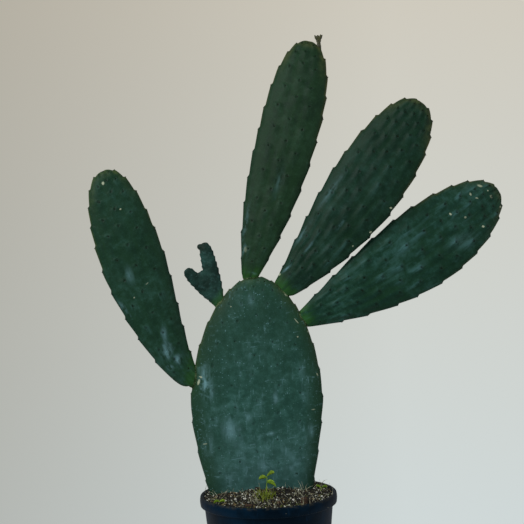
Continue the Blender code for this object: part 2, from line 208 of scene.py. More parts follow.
def randomNumber(tree, seed, low=0.0, high=1.0):
    return wire(tree, "FunctionNodeRandomValue", {"Seed": seed, 2: low, 3: high}, 1, data_type="FLOAT")


def instances(points, instance, rotation, **inputs):
    inputs = {"Points": points, "Instance": instance, "Rotation": rotation, **inputs}
    return wire(points.tree, "GeometryNodeInstanceOnPoints", inputs)


# plain meshes
def bare(name, mesh=None):
    made = bpy.data.objects.new(name, mesh or bpy.data.meshes.new(name))
    bpy.context.scene.collection.objects.link(made)
    return made


def meshFrom(name, shape):
    mesh = bpy.data.meshes.new(name)
    shape.to_mesh(mesh)
    shape.free()
    return mesh


def roundTurns(count, start=0.0):
    return [2.0 * math.pi * (k + start) / count for k in range(count)]


def facesOut(piece):
    shape = bmesh.new()
    shape.from_mesh(piece.data)
    bmesh.ops.recalc_face_normals(shape, faces=shape.faces)
    shape.to_mesh(piece.data)
    shape.free()
    return piece


def finished(name, mesh, finish):
    mesh.polygons.foreach_set("use_smooth", [True] * len(mesh.polygons))
    mesh.materials.append(finish)
    return bare(name, mesh)


def plainPiece(name, points, faces, finish):
    mesh = bpy.data.meshes.new(name)
    mesh.from_pydata([tuple(point) for point in points], [], faces)
    return facesOut(finished(name, mesh, finish))


def bands(rings, sides):
    # faces between one closed ring of points and the next
    faces = []
    for low in range(0, (rings - 1) * sides, sides):
        for k, after in ((k, (k + 1) % sides) for k in range(sides)):
            faces.append((low + k, low + after, low + sides + after, low + sides + k))
    return faces


def fan(middle, low, sides, turned=False):
    # faces from a middle point to a closed ring that starts at low
    pairs = [(low + k, low + (k + 1) % sides) for k in range(sides)]
    return [(middle, *(pair[::-1] if turned else pair)) for pair in pairs]


def settle(piece):
    # keeps what the modifiers make as the plain mesh
    bpy.context.view_layer.update()
    graph = bpy.context.evaluated_depsgraph_get()
    made = piece.evaluated_get(graph)
    piece.data = bpy.data.meshes.new_from_object(made, preserve_all_data_layers=True, depsgraph=graph)
    piece.data.name = piece.name
    piece.modifiers.clear()
    return piece


def grow(piece, tree, values):
    # runs the tree on the piece; keys that aren't inputs of the tree are left alone
    modifier = piece.modifiers.new(tree.name, "NODES")
    modifier.node_group = tree
    sockets = {s.name: s.identifier for s in tree.interface.items_tree if s.in_out == "INPUT"}
    for key, value in values.items():
        if spoken(key) in sockets:
            modifier[sockets[spoken(key)]] = value
    mesh = settle(piece).data
    finishes = [finish for finish in mesh.materials if finish]
    mesh.materials.clear()
    mesh.materials.append(finishes[0])
    mesh.polygons.foreach_set("material_index", [0] * len(mesh.polygons))
    return piece


# finishes
def newFinish(name, specular=None):
    finish = bpy.data.materials.new(name)
    finish.use_nodes = True
    tree = finish.node_tree
    shader = tree.nodes["Principled BSDF"]
    if specular is not None:
        shader.inputs["Specular IOR Level"].default_value = specular
    return finish, shader, wire(tree, "ShaderNodeTexCoord", output="Object")


def mix(amount, first, second):
    return wire(amount.tree, "ShaderNodeMix", {0: amount, 6: first, 7: second}, 2, data_type="RGBA")


def attribute(tree, label, output="Vector"):
    return wire(tree, "ShaderNodeAttribute", output=output, attribute_name=label)


def wear(shader, colour, roughness, height, depth):
    # height is 0 to 1, depth its size in metres
    bump = wire(colour.tree, "ShaderNodeBump", {"Strength": 1.0, "Distance": depth, "Height": height})
    for name, value in (("Base Color", colour), ("Roughness", roughness), ("Normal", bump)):
        feed(shader.inputs[name], value)


fleckRule = {  # noises: scale, detail, roughness; blend: from, to; fleck: from, to, amount; matt: spread, least
    "body": (150.0, 3.0, 0.55), "grain": (1000.0, 4.0, 0.65), "blend": (0.35, 0.65), "fleck": (0.58, 0.72, 0.7),
    "matt": (0.12, 0.85), "relief": 0.0, "depth": 0.0004, "specular": 0.5,
}


def flecked(name, rule):
    # two tones in soft patches, flecked with a third
    rule = {**fleckRule, **rule}
    finish, shader, place = newFinish(name, rule["specular"])
    body, grain = cloud(place, *rule["body"]), cloud(place, *rule["grain"])
    *reach, amount = rule["fleck"]
    dark, light, accent = rule["tones"]
    colour = mix(grain.smooth(*reach) * amount, mix(body.smooth(*rule["blend"]), dark, light), accent)
    spread, least = rule["matt"]
    height = body * rule["relief"] + grain * (1.0 - rule["relief"])
    wear(shader, colour, grain * spread + least, height, rule["depth"])
    return finish, shader


# pads: metres and degrees, lengths along the pad, leans from upright towards the right
mainPad = {
    "name": "mainPad", "node": "main_pad", "plantedDepth": 0.0465, "footShare": 0.058, "neckShare": 0.671,
    "length": 0.2987, "lean": -2.5, "halfWidth": 0.0792, "halfThickness": 0.0140, "widestAt": 0.488,
    "basePower": 1.42, "tipPower": 1.86, "bow": -0.0106, "bowAt": 0.185,
    "leanBack": 0.0, "turn": 0.0, "cup": 0.003, "root": 0.0,
    "columns": 6.0, "toothHeight": 0.0012, "ridgeHeight": 0.0004, "unevenness": 0.0014, "seed": 3.0,
}
topPad = {
    "name": "topPad", "node": "top_pad", "sitsAt": 0.9967, "side": -1, "inset": 0.002,
    "length": 0.2965, "lean": 16.2, "halfWidth": 0.0363, "halfThickness": 0.0095, "neck": 0.0095, "widestAt": 0.65,
    "basePower": 2.26, "tipPower": 2.26, "bow": 0.0033, "bowAt": 0.66,
    "leanBack": 2.5, "turn": 10.0, "cup": 0.004, "root": 0.007,
    "columns": 4.0, "toothHeight": 0.0017, "ridgeHeight": 0.0013, "unevenness": 0.0012, "seed": 11.0,
}
upperRightPad = {
    "name": "upperRightPad", "node": "upper_right_pad", "sitsAt": 0.937, "side": 1, "inset": 0.001,
    "length": 0.2785, "lean": 38.6, "halfWidth": 0.0437, "halfThickness": 0.0100, "neck": 0.0131, "widestAt": 0.566,
    "basePower": 1.56, "tipPower": 2.36, "bow": 0.0062, "bowAt": 0.37,
    "leanBack": -3.0, "turn": 8.0, "cup": -0.003, "root": 0.007,
    "columns": 6.0, "toothHeight": 0.0019, "ridgeHeight": 0.0017, "unevenness": 0.0012, "seed": 23.0,
}
lowerRightPad = {
    "name": "lowerRightPad", "node": "lower_right_pad", "sitsAt": 0.809, "side": 1, "inset": 0.003,
    "length": 0.2890, "lean": 58.8, "halfWidth": 0.0485, "halfThickness": 0.0100, "neck": 0.0098, "widestAt": 0.607,
    "basePower": 1.66, "tipPower": 2.07, "bow": 0.0081, "bowAt": 0.465,
    "leanBack": 4.0, "turn": -5.0, "cup": 0.003, "root": 0.007,
    "columns": 6.0, "toothHeight": 0.0019, "ridgeHeight": 0.0021, "unevenness": 0.0012, "seed": 31.0,
}
leftPad = {
    "name": "leftPad", "node": "left_pad", "sitsAt": 0.594, "side": -1, "inset": 0.0057,
    "length": 0.2761, "lean": -21.8, "halfWidth": 0.0379, "halfThickness": 0.0100, "neck": 0.0122, "widestAt": 0.569,
    "basePower": 1.39, "tipPower": 2.33, "bow": -0.0143, "bowAt": 0.28,
    "leanBack": -3.0, "turn": -7.0, "cup": 0.003, "root": 0.007,
    "columns": 4.0, "toothHeight": 0.0017, "ridgeHeight": 0.0011, "unevenness": 0.0012, "seed": 47.0,
}
finger = {
    "name": "finger", "node": "forked_pad", "sitsAt": 0.900, "side": -1, "inset": 0.002,
    "length": 0.0762, "lean": -12.3, "halfWidth": 0.0092, "halfThickness": 0.0046, "neck": 0.0062, "widestAt": 0.45,
    "basePower": 1.5, "tipPower": 3.0, "bow": 0.0, "bowAt": 0.50,
    "leanBack": -4.0, "turn": 12.0, "cup": 0.0, "root": 0.007,
    "columns": 2.0, "toothHeight": 0.0016, "ridgeHeight": 0.0006, "unevenness": 0.0004, "seed": 5.0,
    "spacing": 0.013,
}
thumb = {
    **finger, "name": "thumb", "length": 0.0580, "lean": -42.0, "halfWidth": 0.0074, "halfThickness": 0.0042,
    "neck": 0.0050, "widestAt": 0.58, "basePower": 1.6, "tipPower": 3.4, "bow": -0.001, "seed": 8.0,
}
palm = {
    **finger, "name": "palm", "length": 0.0455, "lean": -30.0, "halfWidth": 0.0108, "halfThickness": 0.0048,
    "neck": 0.0062, "widestAt": 0.66, "basePower": 1.6, "tipPower": 3.0, "seed": 9.0,
}
areoleRule = {  # how the areoles are spread, shared by shape and skin
    "spacing": 0.031, "tipSpacing": 0.012, "crowding": 0.045, "wander": 0.22, "lineStep": 12.9, "dropOff": 0.86,
    "rise": 1.5, "drift": 0.6, "driftScale": 24.0, "sidestep": 0.7, "sidestepScale": 30.0, "fullWidth": 0.010,
    "toothLevel": 0.33, "ridgeLevel": 0.15,
}
padShapeRule = {"squareness": 2.3, "mergeGap": 0.00001, "leastSlope": 0.001, "lumps": (22.0, 90.0)}
padInputs = {
    "length": 0.28, "halfWidth": 0.04, "halfThickness": 0.01, "neck": 0.01, "widestAt": 0.5, "basePower": 2.0,
    "tipPower": 2.0, "bow": 0.0, "bowPower": 1.0, "cup": 0.0, "root": 0.0, "base": (0.0, 0.0, 0.0),
    "along": (0.0, 0.0, 1.0), "across": (1.0, 0.0, 0.0), "out": (0.0, -1.0, 0.0), "rings": 300, "around": 140,
    "columns": 6.0, "toothHeight": 0.002, "ridgeHeight": 0.001, "unevenness": 0.0005, "spacing": 0.031, "seed": 1.0,
}


def padAxes(pad):
    # along its length, across its width and out of its front face
    lean, back, turn = (math.radians(pad[key]) for key in ("lean", "leanBack", "turn"))
    along = Vector((math.sin(lean) * math.cos(back), math.sin(back), math.cos(lean) * math.cos(back)))
    flatAcross = Vector((math.cos(lean), 0.0, -math.sin(lean)))
    across = flatAcross * math.cos(turn) + flatAcross.cross(along) * math.sin(turn)
    return along, across, across.cross(along)


def bowPower(pad):
    return math.log(0.5) / math.log(pad["bowAt"])


def padHalfWidth(pad, at):
    before = 1.0 - min(max(at, 0.0) / pad["widestAt"], 1.0)
    past = min(max(at - pad["widestAt"], 0.0) / (1.0 - pad["widestAt"]), 1.0)
    swell = pad["neck"] + (pad["halfWidth"] - pad["neck"]) * (1.0 - before ** pad["basePower"])
    return swell * (1.0 - past ** pad["tipPower"]) ** (1.0 / pad["tipPower"])


def padMiddle(pad, at):
    along, across, out = padAxes(pad)
    bent = max(at, 0.0) ** bowPower(pad)
    bow = pad["bow"] * 4.0 * bent * (1.0 - bent)
    cup = pad["cup"] * 4.0 * max(at, 0.0) * (1.0 - at)
    return pad["base"] + along * pad["length"] * at + across * bow + out * cup


def padEdge(pad, at, side):
    return padMiddle(pad, at) + padAxes(pad)[1] * side * padHalfWidth(pad, at)


def seated(pad, trunk):
    edge = padEdge(trunk, pad["sitsAt"], pad["side"])
    inwards = (padMiddle(trunk, pad["sitsAt"]) - edge).normalized()
    return {**pad, "base": edge + inwards * pad["inset"]}


def areoleWave(rows, column, seed):
    # where a point stands between areoles: past the last one, off its line, and the swelling below it
    line = column.math("ROUND")
    odd = line.math("ABSOLUTE").math("MODULO", 2.0)
    wander = (line * areoleRule["lineStep"] + seed).math("SINE") * areoleRule["wander"]
    past = (rows + odd * 0.5 + wander).math("FRACT")
    offset = column - line
    swell = ((1.0 - past) ** areoleRule["rise"]).math("MAXIMUM", past.smooth(areoleRule["dropOff"], 1.0))
    return past, offset, swell * (offset * math.pi).math("COSINE") ** 2.0


def padShapeTree():
    tree, given = newTree("padShape", padInputs, skin="Material")
    length, halfWidth, neck = given["length"], given["halfWidth"], given["neck"]
    widestAt, tipPower, halfThickness = given["widestAt"], given["tipPower"], given["halfThickness"]
    size = {"Size X": 1.0, "Size Y": 1.0, "Vertices X": given["rings"], "Vertices Y": given["around"]}
    grid = addNode(tree, "GeometryNodeMeshGrid", size)
    shape = store(Wire(grid.outputs["Mesh"]), "UVMap", Wire(grid.outputs["UV Map"]), "FLOAT2", "CORNER")
    spot = split(wire(tree, "GeometryNodeInputPosition"))
    for number, label in enumerate(("ring", "turnRound")):
        shape = store(shape, label, spot[number] + 0.5, "FLOAT")
    ring = recall(tree, "ring")
    angle = recall(tree, "turnRound") * (2.0 * math.pi)

    start = (given["root"] / length) * -1.0
    at = start + (1.0 - start) * (0.5 - (ring * math.pi).math("COSINE") * 0.5)
    onPad = at.math("MAXIMUM", 0.0)
    before = 1.0 - (onPad / widestAt).math("MINIMUM", 1.0)
    past = ((at - widestAt) / (1.0 - widestAt)).clamp()
    swelling = neck + (halfWidth - neck) * (1.0 - before ** given["basePower"])
    rounding = (1.0 - past ** tipPower).math("MAXIMUM", 0.0) ** (tipPower ** -1.0)
    width = swelling * rounding
    closed = ((at - start) * length / (halfThickness * 1.2)).clamp()
    closing = (1.0 - (1.0 - closed) ** 2.0).math("SQRT")
    thickness = halfThickness * (1.0 - (1.0 - width / halfWidth) ** 2.0)

    power = 2.0 / padShapeRule["squareness"]
    wide, thick = (wave.math("ABSOLUTE") ** power * wave.math("SIGN")
                   for wave in (angle.math("COSINE"), angle.math("SINE")))
    x, y, z = wide * width * closing, at * length, thick * thickness * closing

    # areoles: rows crowd together towards the tip
    spacing, crowding = areoleRule["spacing"], areoleRule["crowding"]
    fromTip = (((1.0 - at) * length) ** 2.0 + x ** 2.0).math("SQRT")
    extra = crowding * (1.0 / areoleRule["tipSpacing"] - 1.0 / spacing)
    fading = (fromTip * (-1.0 / crowding)).math("EXPONENT")
    finer = (given["spacing"] / spacing) ** -1.0
    rows = (fromTip / spacing + (1.0 - fading) * extra) * finer
    rowGap = (fading * (extra / crowding) + 1.0 / spacing) ** -1.0 / finer
    flatPlace = join(x, y, z)
    seeded = vectorSum(flatPlace, join(given["seed"], 0.0, 0.0))
    rim = wide.math("ABSOLUTE").smooth(0.80, 0.98)
    rows = rows + (cloud(seeded, areoleRule["driftScale"], 1.0) - 0.5) * areoleRule["drift"]
    mirrored = stretched(seeded, (-1.0, 1.0, 1.0))
    sidestep = (cloud(mirrored, areoleRule["sidestepScale"], 1.0) - 0.5) * areoleRule["sidestep"]
    column = wide * given["columns"] * 0.5 + sidestep * (1.0 - rim)
    columnGap = width * 2.0 / given["columns"]
    wave = areoleWave(rows, column, given["seed"])[2]
    settled = (width / areoleRule["fullWidth"]).clamp() * at.smooth(0.02, 0.16)
    tooth = (wave - areoleRule["toothLevel"]) * given["toothHeight"] * rim * settled
    ridge = (wave - areoleRule["ridgeLevel"]) * given["ridgeHeight"] * (1.0 - rim) * settled * thick.math("SIGN")
    least = padShapeRule["leastSlope"]
    slopeAcross = wide * rounding.math("MAXIMUM", least) ** (tipPower - 1.0) / halfWidth
    slopeAlong = past ** (tipPower - 1.0) / (length * (1.0 - widestAt))
    steepness = (slopeAcross ** 2.0 + slopeAlong ** 2.0).math("SQRT").math("MAXIMUM", least)
    swells, ripples = (cloud(seeded, scale, 2.0) - 0.5 for scale in padShapeRule["lumps"])
    lump = (swells * 2.0 + ripples * 0.5) * given["unevenness"]

    bent = onPad ** given["bowPower"]
    moves = {
        "along": y + slopeAlong / steepness * tooth,
        "across": x + slopeAcross / steepness * tooth + given["bow"] * 4.0 * bent * (1.0 - bent),
        "out": z + ridge + lump * thick + given["cup"] * 4.0 * onPad * (1.0 - at),
    }
    place = vectorSum(given["base"], *(scaled(given[way], amount) for way, amount in moves.items()))
    kept = {"padPlace": flatPlace, "lattice": join(rows, column, 0.0), "cell": join(rowGap, columnGap, 0.0),
            "share": join(at, wide, thick)}
    for label, value in kept.items():
        shape = store(shape, label, value)
    merging = {"Geometry": moved(shape, place), "Distance": padShapeRule["mergeGap"]}
    shape = wire(tree, "GeometryNodeMergeByDistance", merging)
    for label in ("ring", "turnRound"):
        shape = wire(tree, "GeometryNodeRemoveAttribute", {"Geometry": shape, "Name": label})
    return closeTree(shape, given["skin"])


def growPad(tree, pad, skin, detail=1.0):
    values = {**padInputs, **pad, **dict(zip(("along", "across", "out"), padAxes(pad))), "bowPower": bowPower(pad)}
    values.update({key: int(padInputs[key] * detail) for key in ("rings", "around")}, skin=skin)
    return facesOut(grow(bare(pad["name"]), tree, values))


def jointTree():
    # how far each point is from the pads that this one is joined to
    tree, given = newTree("jointDistance", {}, neighbours="Collection", skin="Material")
    others = wire(tree, "GeometryNodeCollectionInfo", {"Collection": given["neighbours"]})
    real = wire(tree, "GeometryNodeRealizeInstances", {"Geometry": others})
    near = wire(tree, "GeometryNodeProximity", {0: real}, "Distance")
    return closeTree(store(given["shape"], "joint", near, "FLOAT"), given["skin"])


def markJoints(tree, piece, neighbours):
    gathered = bpy.data.collections.new("neighboursOf" + piece.name)
    for other in neighbours:
        gathered.objects.link(other)
    grow(piece, tree, {"neighbours": gathered, "skin": piece.data.materials[0]})
    bpy.data.collections.remove(gathered)


# pad skin
# the pale bluish 739da3 is the colour of the painted reflections on the pads
skinRule = {
    "grain": 900.0, "mottle": 130.0, "patch": 18.0, "streak": 125.0, "speck": 430.0, "stroke": 330.0,
    "scarCell": 75.0,
    "haloSize": 0.0026, "dotSize": 0.0009, "corkyJoint": 0.0017, "greenJoint": 0.022,
    "jointWobble": 0.004, "reliefDepth": 0.0016, "worn": 130.0, "paintedReflection": "739da3", "specular": 0.10,
}
# the looks hold the pads' own tones and also the painted highlight, the painted shade in the hollows, at the top and
# on the left side, and the painted light at the foot
skinShared = {"shade": 0.1, "paintedFootLight": 0.0}
skinLooks = {
    "mainPad": {
        "deep": "1f4238", "mid": "325c51", "bloom": "648c90", "paintedHollowShade": "1c3a27", "rim": "1d3a26", "tip": "5a6038",
        "bloomAndHighlightAmount": 0.55, "patchAmount": 0.75, "speckAmount": 0.95, "streakAmount": 0.4, "rimAmount": 0.95,
        "tipAmount": 0.55, "paintedHighlightEnds": 1.2, "shade": 0.45, "scarShare": 0.978, "paintedFootLight": 0.35, "roughness": 0.55,
        "dot": 0.22, "fresh": 0.1, "cushion": 0.0005, "dim": 0.42, "seed": 3.0,
    },
    "topPad": {
        **skinShared,
        "deep": "13291a", "mid": "213b26", "bloom": "3f6156", "paintedHollowShade": "1c3a1b", "rim": "1d3520", "tip": "6b6a3a",
        "bloomAndHighlightAmount": 0.45, "patchAmount": 0.35, "speckAmount": 0.15, "streakAmount": 0.7, "rimAmount": 0.35,
        "tipAmount": 0.75, "paintedHighlightEnds": 0.45, "scarShare": 0.988, "roughness": 0.5, "dot": 0.45, "fresh": 0.5,
        "cushion": 0.00056, "dim": 0.2, "seed": 11.0,
    },
    "upperRightPad": {
        **skinShared,
        "deep": "0d261b", "mid": "193628", "bloom": "3f6662", "paintedHollowShade": "16361c", "rim": "193320", "tip": "6b6a3a",
        "bloomAndHighlightAmount": 0.6, "patchAmount": 0.4, "speckAmount": 0.15, "streakAmount": 0.8, "rimAmount": 0.3,
        "tipAmount": 0.7, "paintedHighlightEnds": 0.75, "scarShare": 0.982, "roughness": 0.49, "dot": 0.42, "fresh": 0.55,
        "cushion": 0.00065, "dim": 0.3, "seed": 23.0,
    },
    "lowerRightPad": {
        **skinShared,
        "deep": "123023", "mid": "1f4436", "bloom": "4c7776", "paintedHollowShade": "183b1f", "rim": "1a3824", "tip": "6c6436",
        "bloomAndHighlightAmount": 0.75, "patchAmount": 0.5, "speckAmount": 0.2, "streakAmount": 1.0, "rimAmount": 0.25,
        "tipAmount": 0.65, "paintedHighlightEnds": 1.1, "scarShare": 0.976, "roughness": 0.47, "dot": 0.5, "fresh": 0.6,
        "cushion": 0.00068, "dim": 0.0, "seed": 31.0,
    },
    "leftPad": {
        **skinShared,
        "deep": "132e20", "mid": "20402f", "bloom": "4a7572", "paintedHollowShade": "193a1d", "rim": "193622", "tip": "5f6a34",
        "bloomAndHighlightAmount": 0.6, "patchAmount": 0.45, "speckAmount": 0.2, "streakAmount": 0.6, "rimAmount": 0.3,
        "tipAmount": 0.75, "paintedHighlightEnds": 0.55, "scarShare": 0.978, "roughness": 0.5, "dot": 0.45, "fresh": 0.45,
        "cushion": 0.00056, "dim": 0.0, "seed": 47.0,
    },
}
jointColours = {"fresh": "2f6116", "cork": "22361c", "paleCork": "7f8d63", "scar": "b9c0a2", "areole": "0b130d"}


def markSum(place, mark, ragged, low, high):
    # how much of a mark is here: across and up the pad, half sizes in metres, turn in degrees, strength
    across, up, halfLong, halfWide, turn, strength = mark
    c, s = math.cos(math.radians(turn)), math.sin(math.radians(turn))
    dx, dy = place[0] - across, place[1] - up
    first, second = (dx * c + dy * s) / halfLong, (dy * c - dx * s) / halfWide
    return ((first ** 2.0 + second ** 2.0).math("SQRT") + ragged).smooth(low, high) * strength


def padSkin(name, look, marks):
    finish, shader, _ = newFinish(name, skinRule["specular"])
    tree = finish.node_tree
    flat = attribute(tree, "padPlace")
    rows, column, _ = split(attribute(tree, "lattice"))
    rowGap, columnGap, _ = split(attribute(tree, "cell"))
    at, wide, thick = split(attribute(tree, "share"))
    joint = attribute(tree, "joint", "Fac")
    place = vectorSum(flat, (look["seed"], 0.0, 0.0))
    past, offset, ridge = areoleWave(rows, column, look["seed"])
    along = past.math("MINIMUM", 1.0 - past) * rowGap
    reach = (along ** 2.0 + (offset * columnGap) ** 2.0).math("SQRT")
    room = columnGap.smooth(0.003, 0.007) * at.smooth(0.03, 0.10)
    edge = wide.math("ABSOLUTE")

    patch = cloud(place, skinRule["patch"], 2.0)
    mottle = cloud(place, skinRule["mottle"], 4.0, 0.62)
    streak = cloud(stretched(place, (1.0, 0.17, 1.0)), skinRule["streak"], 4.0, 0.6)
    grain = cloud(place, skinRule["grain"], 3.0, 0.65)

    # green, from deep to mid, with a painted bluish highlight on the swellings and painted darker green shade in the
    # hollows between
    colour = mix((mottle * 0.6 + patch * 0.4).smooth(0.30, 0.70), look["deep"], look["mid"])

    def lay(amount, shade):
        nonlocal colour
        colour = mix(amount, colour, shade)

    # painted shade: the hollows between the swellings darkened
    lay(((1.0 - ridge) * streak.smooth(0.35, 0.6) * look["streakAmount"] * 0.6).clamp(), look["paintedHollowShade"])
    swollen = ridge.smooth(0.10, 1.0) * 0.7 + 0.3
    lower = 1.0 - at.smooth(look["paintedHighlightEnds"] - 0.35, look["paintedHighlightEnds"] + 0.2) * 0.8
    onFace = edge.smooth(0.99, 0.90)
    # painted highlight: a bluish sheen on the swellings, fading towards the tip
    paintedRidgeHighlight = swollen * streak.smooth(0.48, 0.66) * patch.smooth(0.32, 0.58) * lower * onFace * look["streakAmount"]
    cloudy = (patch * 0.4 + mottle * 0.6).smooth(0.48, 0.72) * look["patchAmount"] * 0.6
    # painted light: the lower part of the pad lightened towards its foot
    foot = (1.0 - at.smooth(0.05, 0.5)) * look["paintedFootLight"]
    # the bloom colour laid as the skin's own pale patches, as the painted highlight and as the painted light at the
    # foot
    lay(((paintedRidgeHighlight + cloudy + foot) * look["bloomAndHighlightAmount"]).clamp(), look["bloom"])
    # painted shade: each pad darkened over its upper half towards the tip
    lay(at.smooth(0.45, 0.95) * look["shade"], look["rim"])
    lay(edge.smooth(0.64, 1.0) * look["rimAmount"], look["rim"])
    # painted shade: the left side of each pad darkened
    lay(wide.smooth(-0.25, -0.90) * look["dim"], look["rim"])
    tipWide = at.smooth(0.80, 0.99) * edge.smooth(0.55, 0.98) + at.smooth(0.955, 1.0)
    worn = cloud(place, skinRule["worn"], 3.0).smooth(0.38, 0.62)
    lay(tipWide.clamp() * (worn * 0.7 + 0.3) * look["tipAmount"] * 0.55, look["tip"])
    margin = thick.math("ABSOLUTE").smooth(0.50, 0.10) * at.smooth(0.45, 0.85) * look["tipAmount"]
    lay(margin * (worn * 0.6 + 0.4), look["tip"])
    lay(grain.smooth(0.56, 0.74) * 0.22, look["bloom"])
    lay(grain.smooth(0.46, 0.30) * 0.30, look["deep"])

    # pale specks, brushed strokes and scabs
    speckDistance, speckNumber = cells(place, skinRule["speck"])
    speck = speckDistance.smooth(0.34, 0.18) * speckNumber.smooth(0.80, 0.84) * mottle.smooth(0.42, 0.60)
    lay(speck * look["speckAmount"] * 0.8, look["bloom"])
    ways = ((1.0, 0.2, 1.0), (0.2, 1.0, 1.0))
    strokes = [cloud(stretched(place, way), skinRule["stroke"], 3.0, 0.6) for way in ways]
    brushed = strokes[0].math("MAXIMUM", strokes[1]).smooth(0.60, 0.72)
    lay(brushed * (patch * 0.5 + mottle * 0.5).smooth(0.40, 0.60) * look["speckAmount"] * 0.55, look["bloom"])
    rough = vectorSum(place, scaled(join(grain, mottle, streak), 0.004))
    scarDistance, scarNumber = cells(rough, skinRule["scarCell"])
    scar = scarDistance.smooth(0.17, 0.10) * scarNumber.smooth(look["scarShare"], look["scarShare"] + 0.004)
    spot = split(flat)
    front = thick.smooth(0.0, 0.1)
    ragged = (grain - 0.5) * 0.6 + (mottle - 0.5) * 1.3
    for mark in marks["scabs"]:
        scar = scar.math("MAXIMUM", markSum(spot, mark, ragged, 1.10, 0.55) * front)
    ragged = (mottle - 0.5) * 2.2 + (streak - 0.5) * 0.8
    # painted reflection: soft bluish-white patches of window light on the front faces
    paintedReflection = 0.0
    for mark in marks["paintedReflectionMarks"]:
        paintedReflection = markSum(spot, mark, ragged, 1.40, 0.0) * front + paintedReflection
    dashes = streak.smooth(0.42, 0.60) * 0.9 + mottle.smooth(0.44, 0.60) * 0.6
    lay((paintedReflection * dashes).clamp(), skinRule["paintedReflection"])
    lay(scar, jointColours["scar"])

    # areoles: a soft dark ring round each cushion
    halo = reach.smooth(skinRule["haloSize"], skinRule["dotSize"] * 0.6) * room
    lay(halo * look["dot"], jointColours["areole"])

    # fresh green and corky tan where it joins another pad
    wobble = (mottle - 0.5) * skinRule["jointWobble"]
    fresh = (joint + wobble * 4.0).smooth(skinRule["greenJoint"], 0.002) ** 1.6 * look["fresh"]
    lay(fresh * streak.smooth(0.30, 0.60), jointColours["fresh"])
    corky = (joint + wobble).smooth(skinRule["corkyJoint"], skinRule["corkyJoint"] * 0.4) * patch.smooth(0.25, 0.50)
    pale = (mottle * 0.5 + grain * 0.5).smooth(0.50, 0.62)
    lay(corky * 0.85, mix(pale, jointColours["cork"], jointColours["paleCork"]))

    roughness = mottle * 0.16 + (look["roughness"] - 0.08) + scar * 0.25 + corky * 0.25
    height = grain * 0.10 + mottle * 0.22 + streak * 0.16 + scar * 0.25 + speck * 0.05 + corky * grain * 0.3
    wear(shader, colour, roughness, height - halo * 0.35, skinRule["reliefDepth"])
    return finish


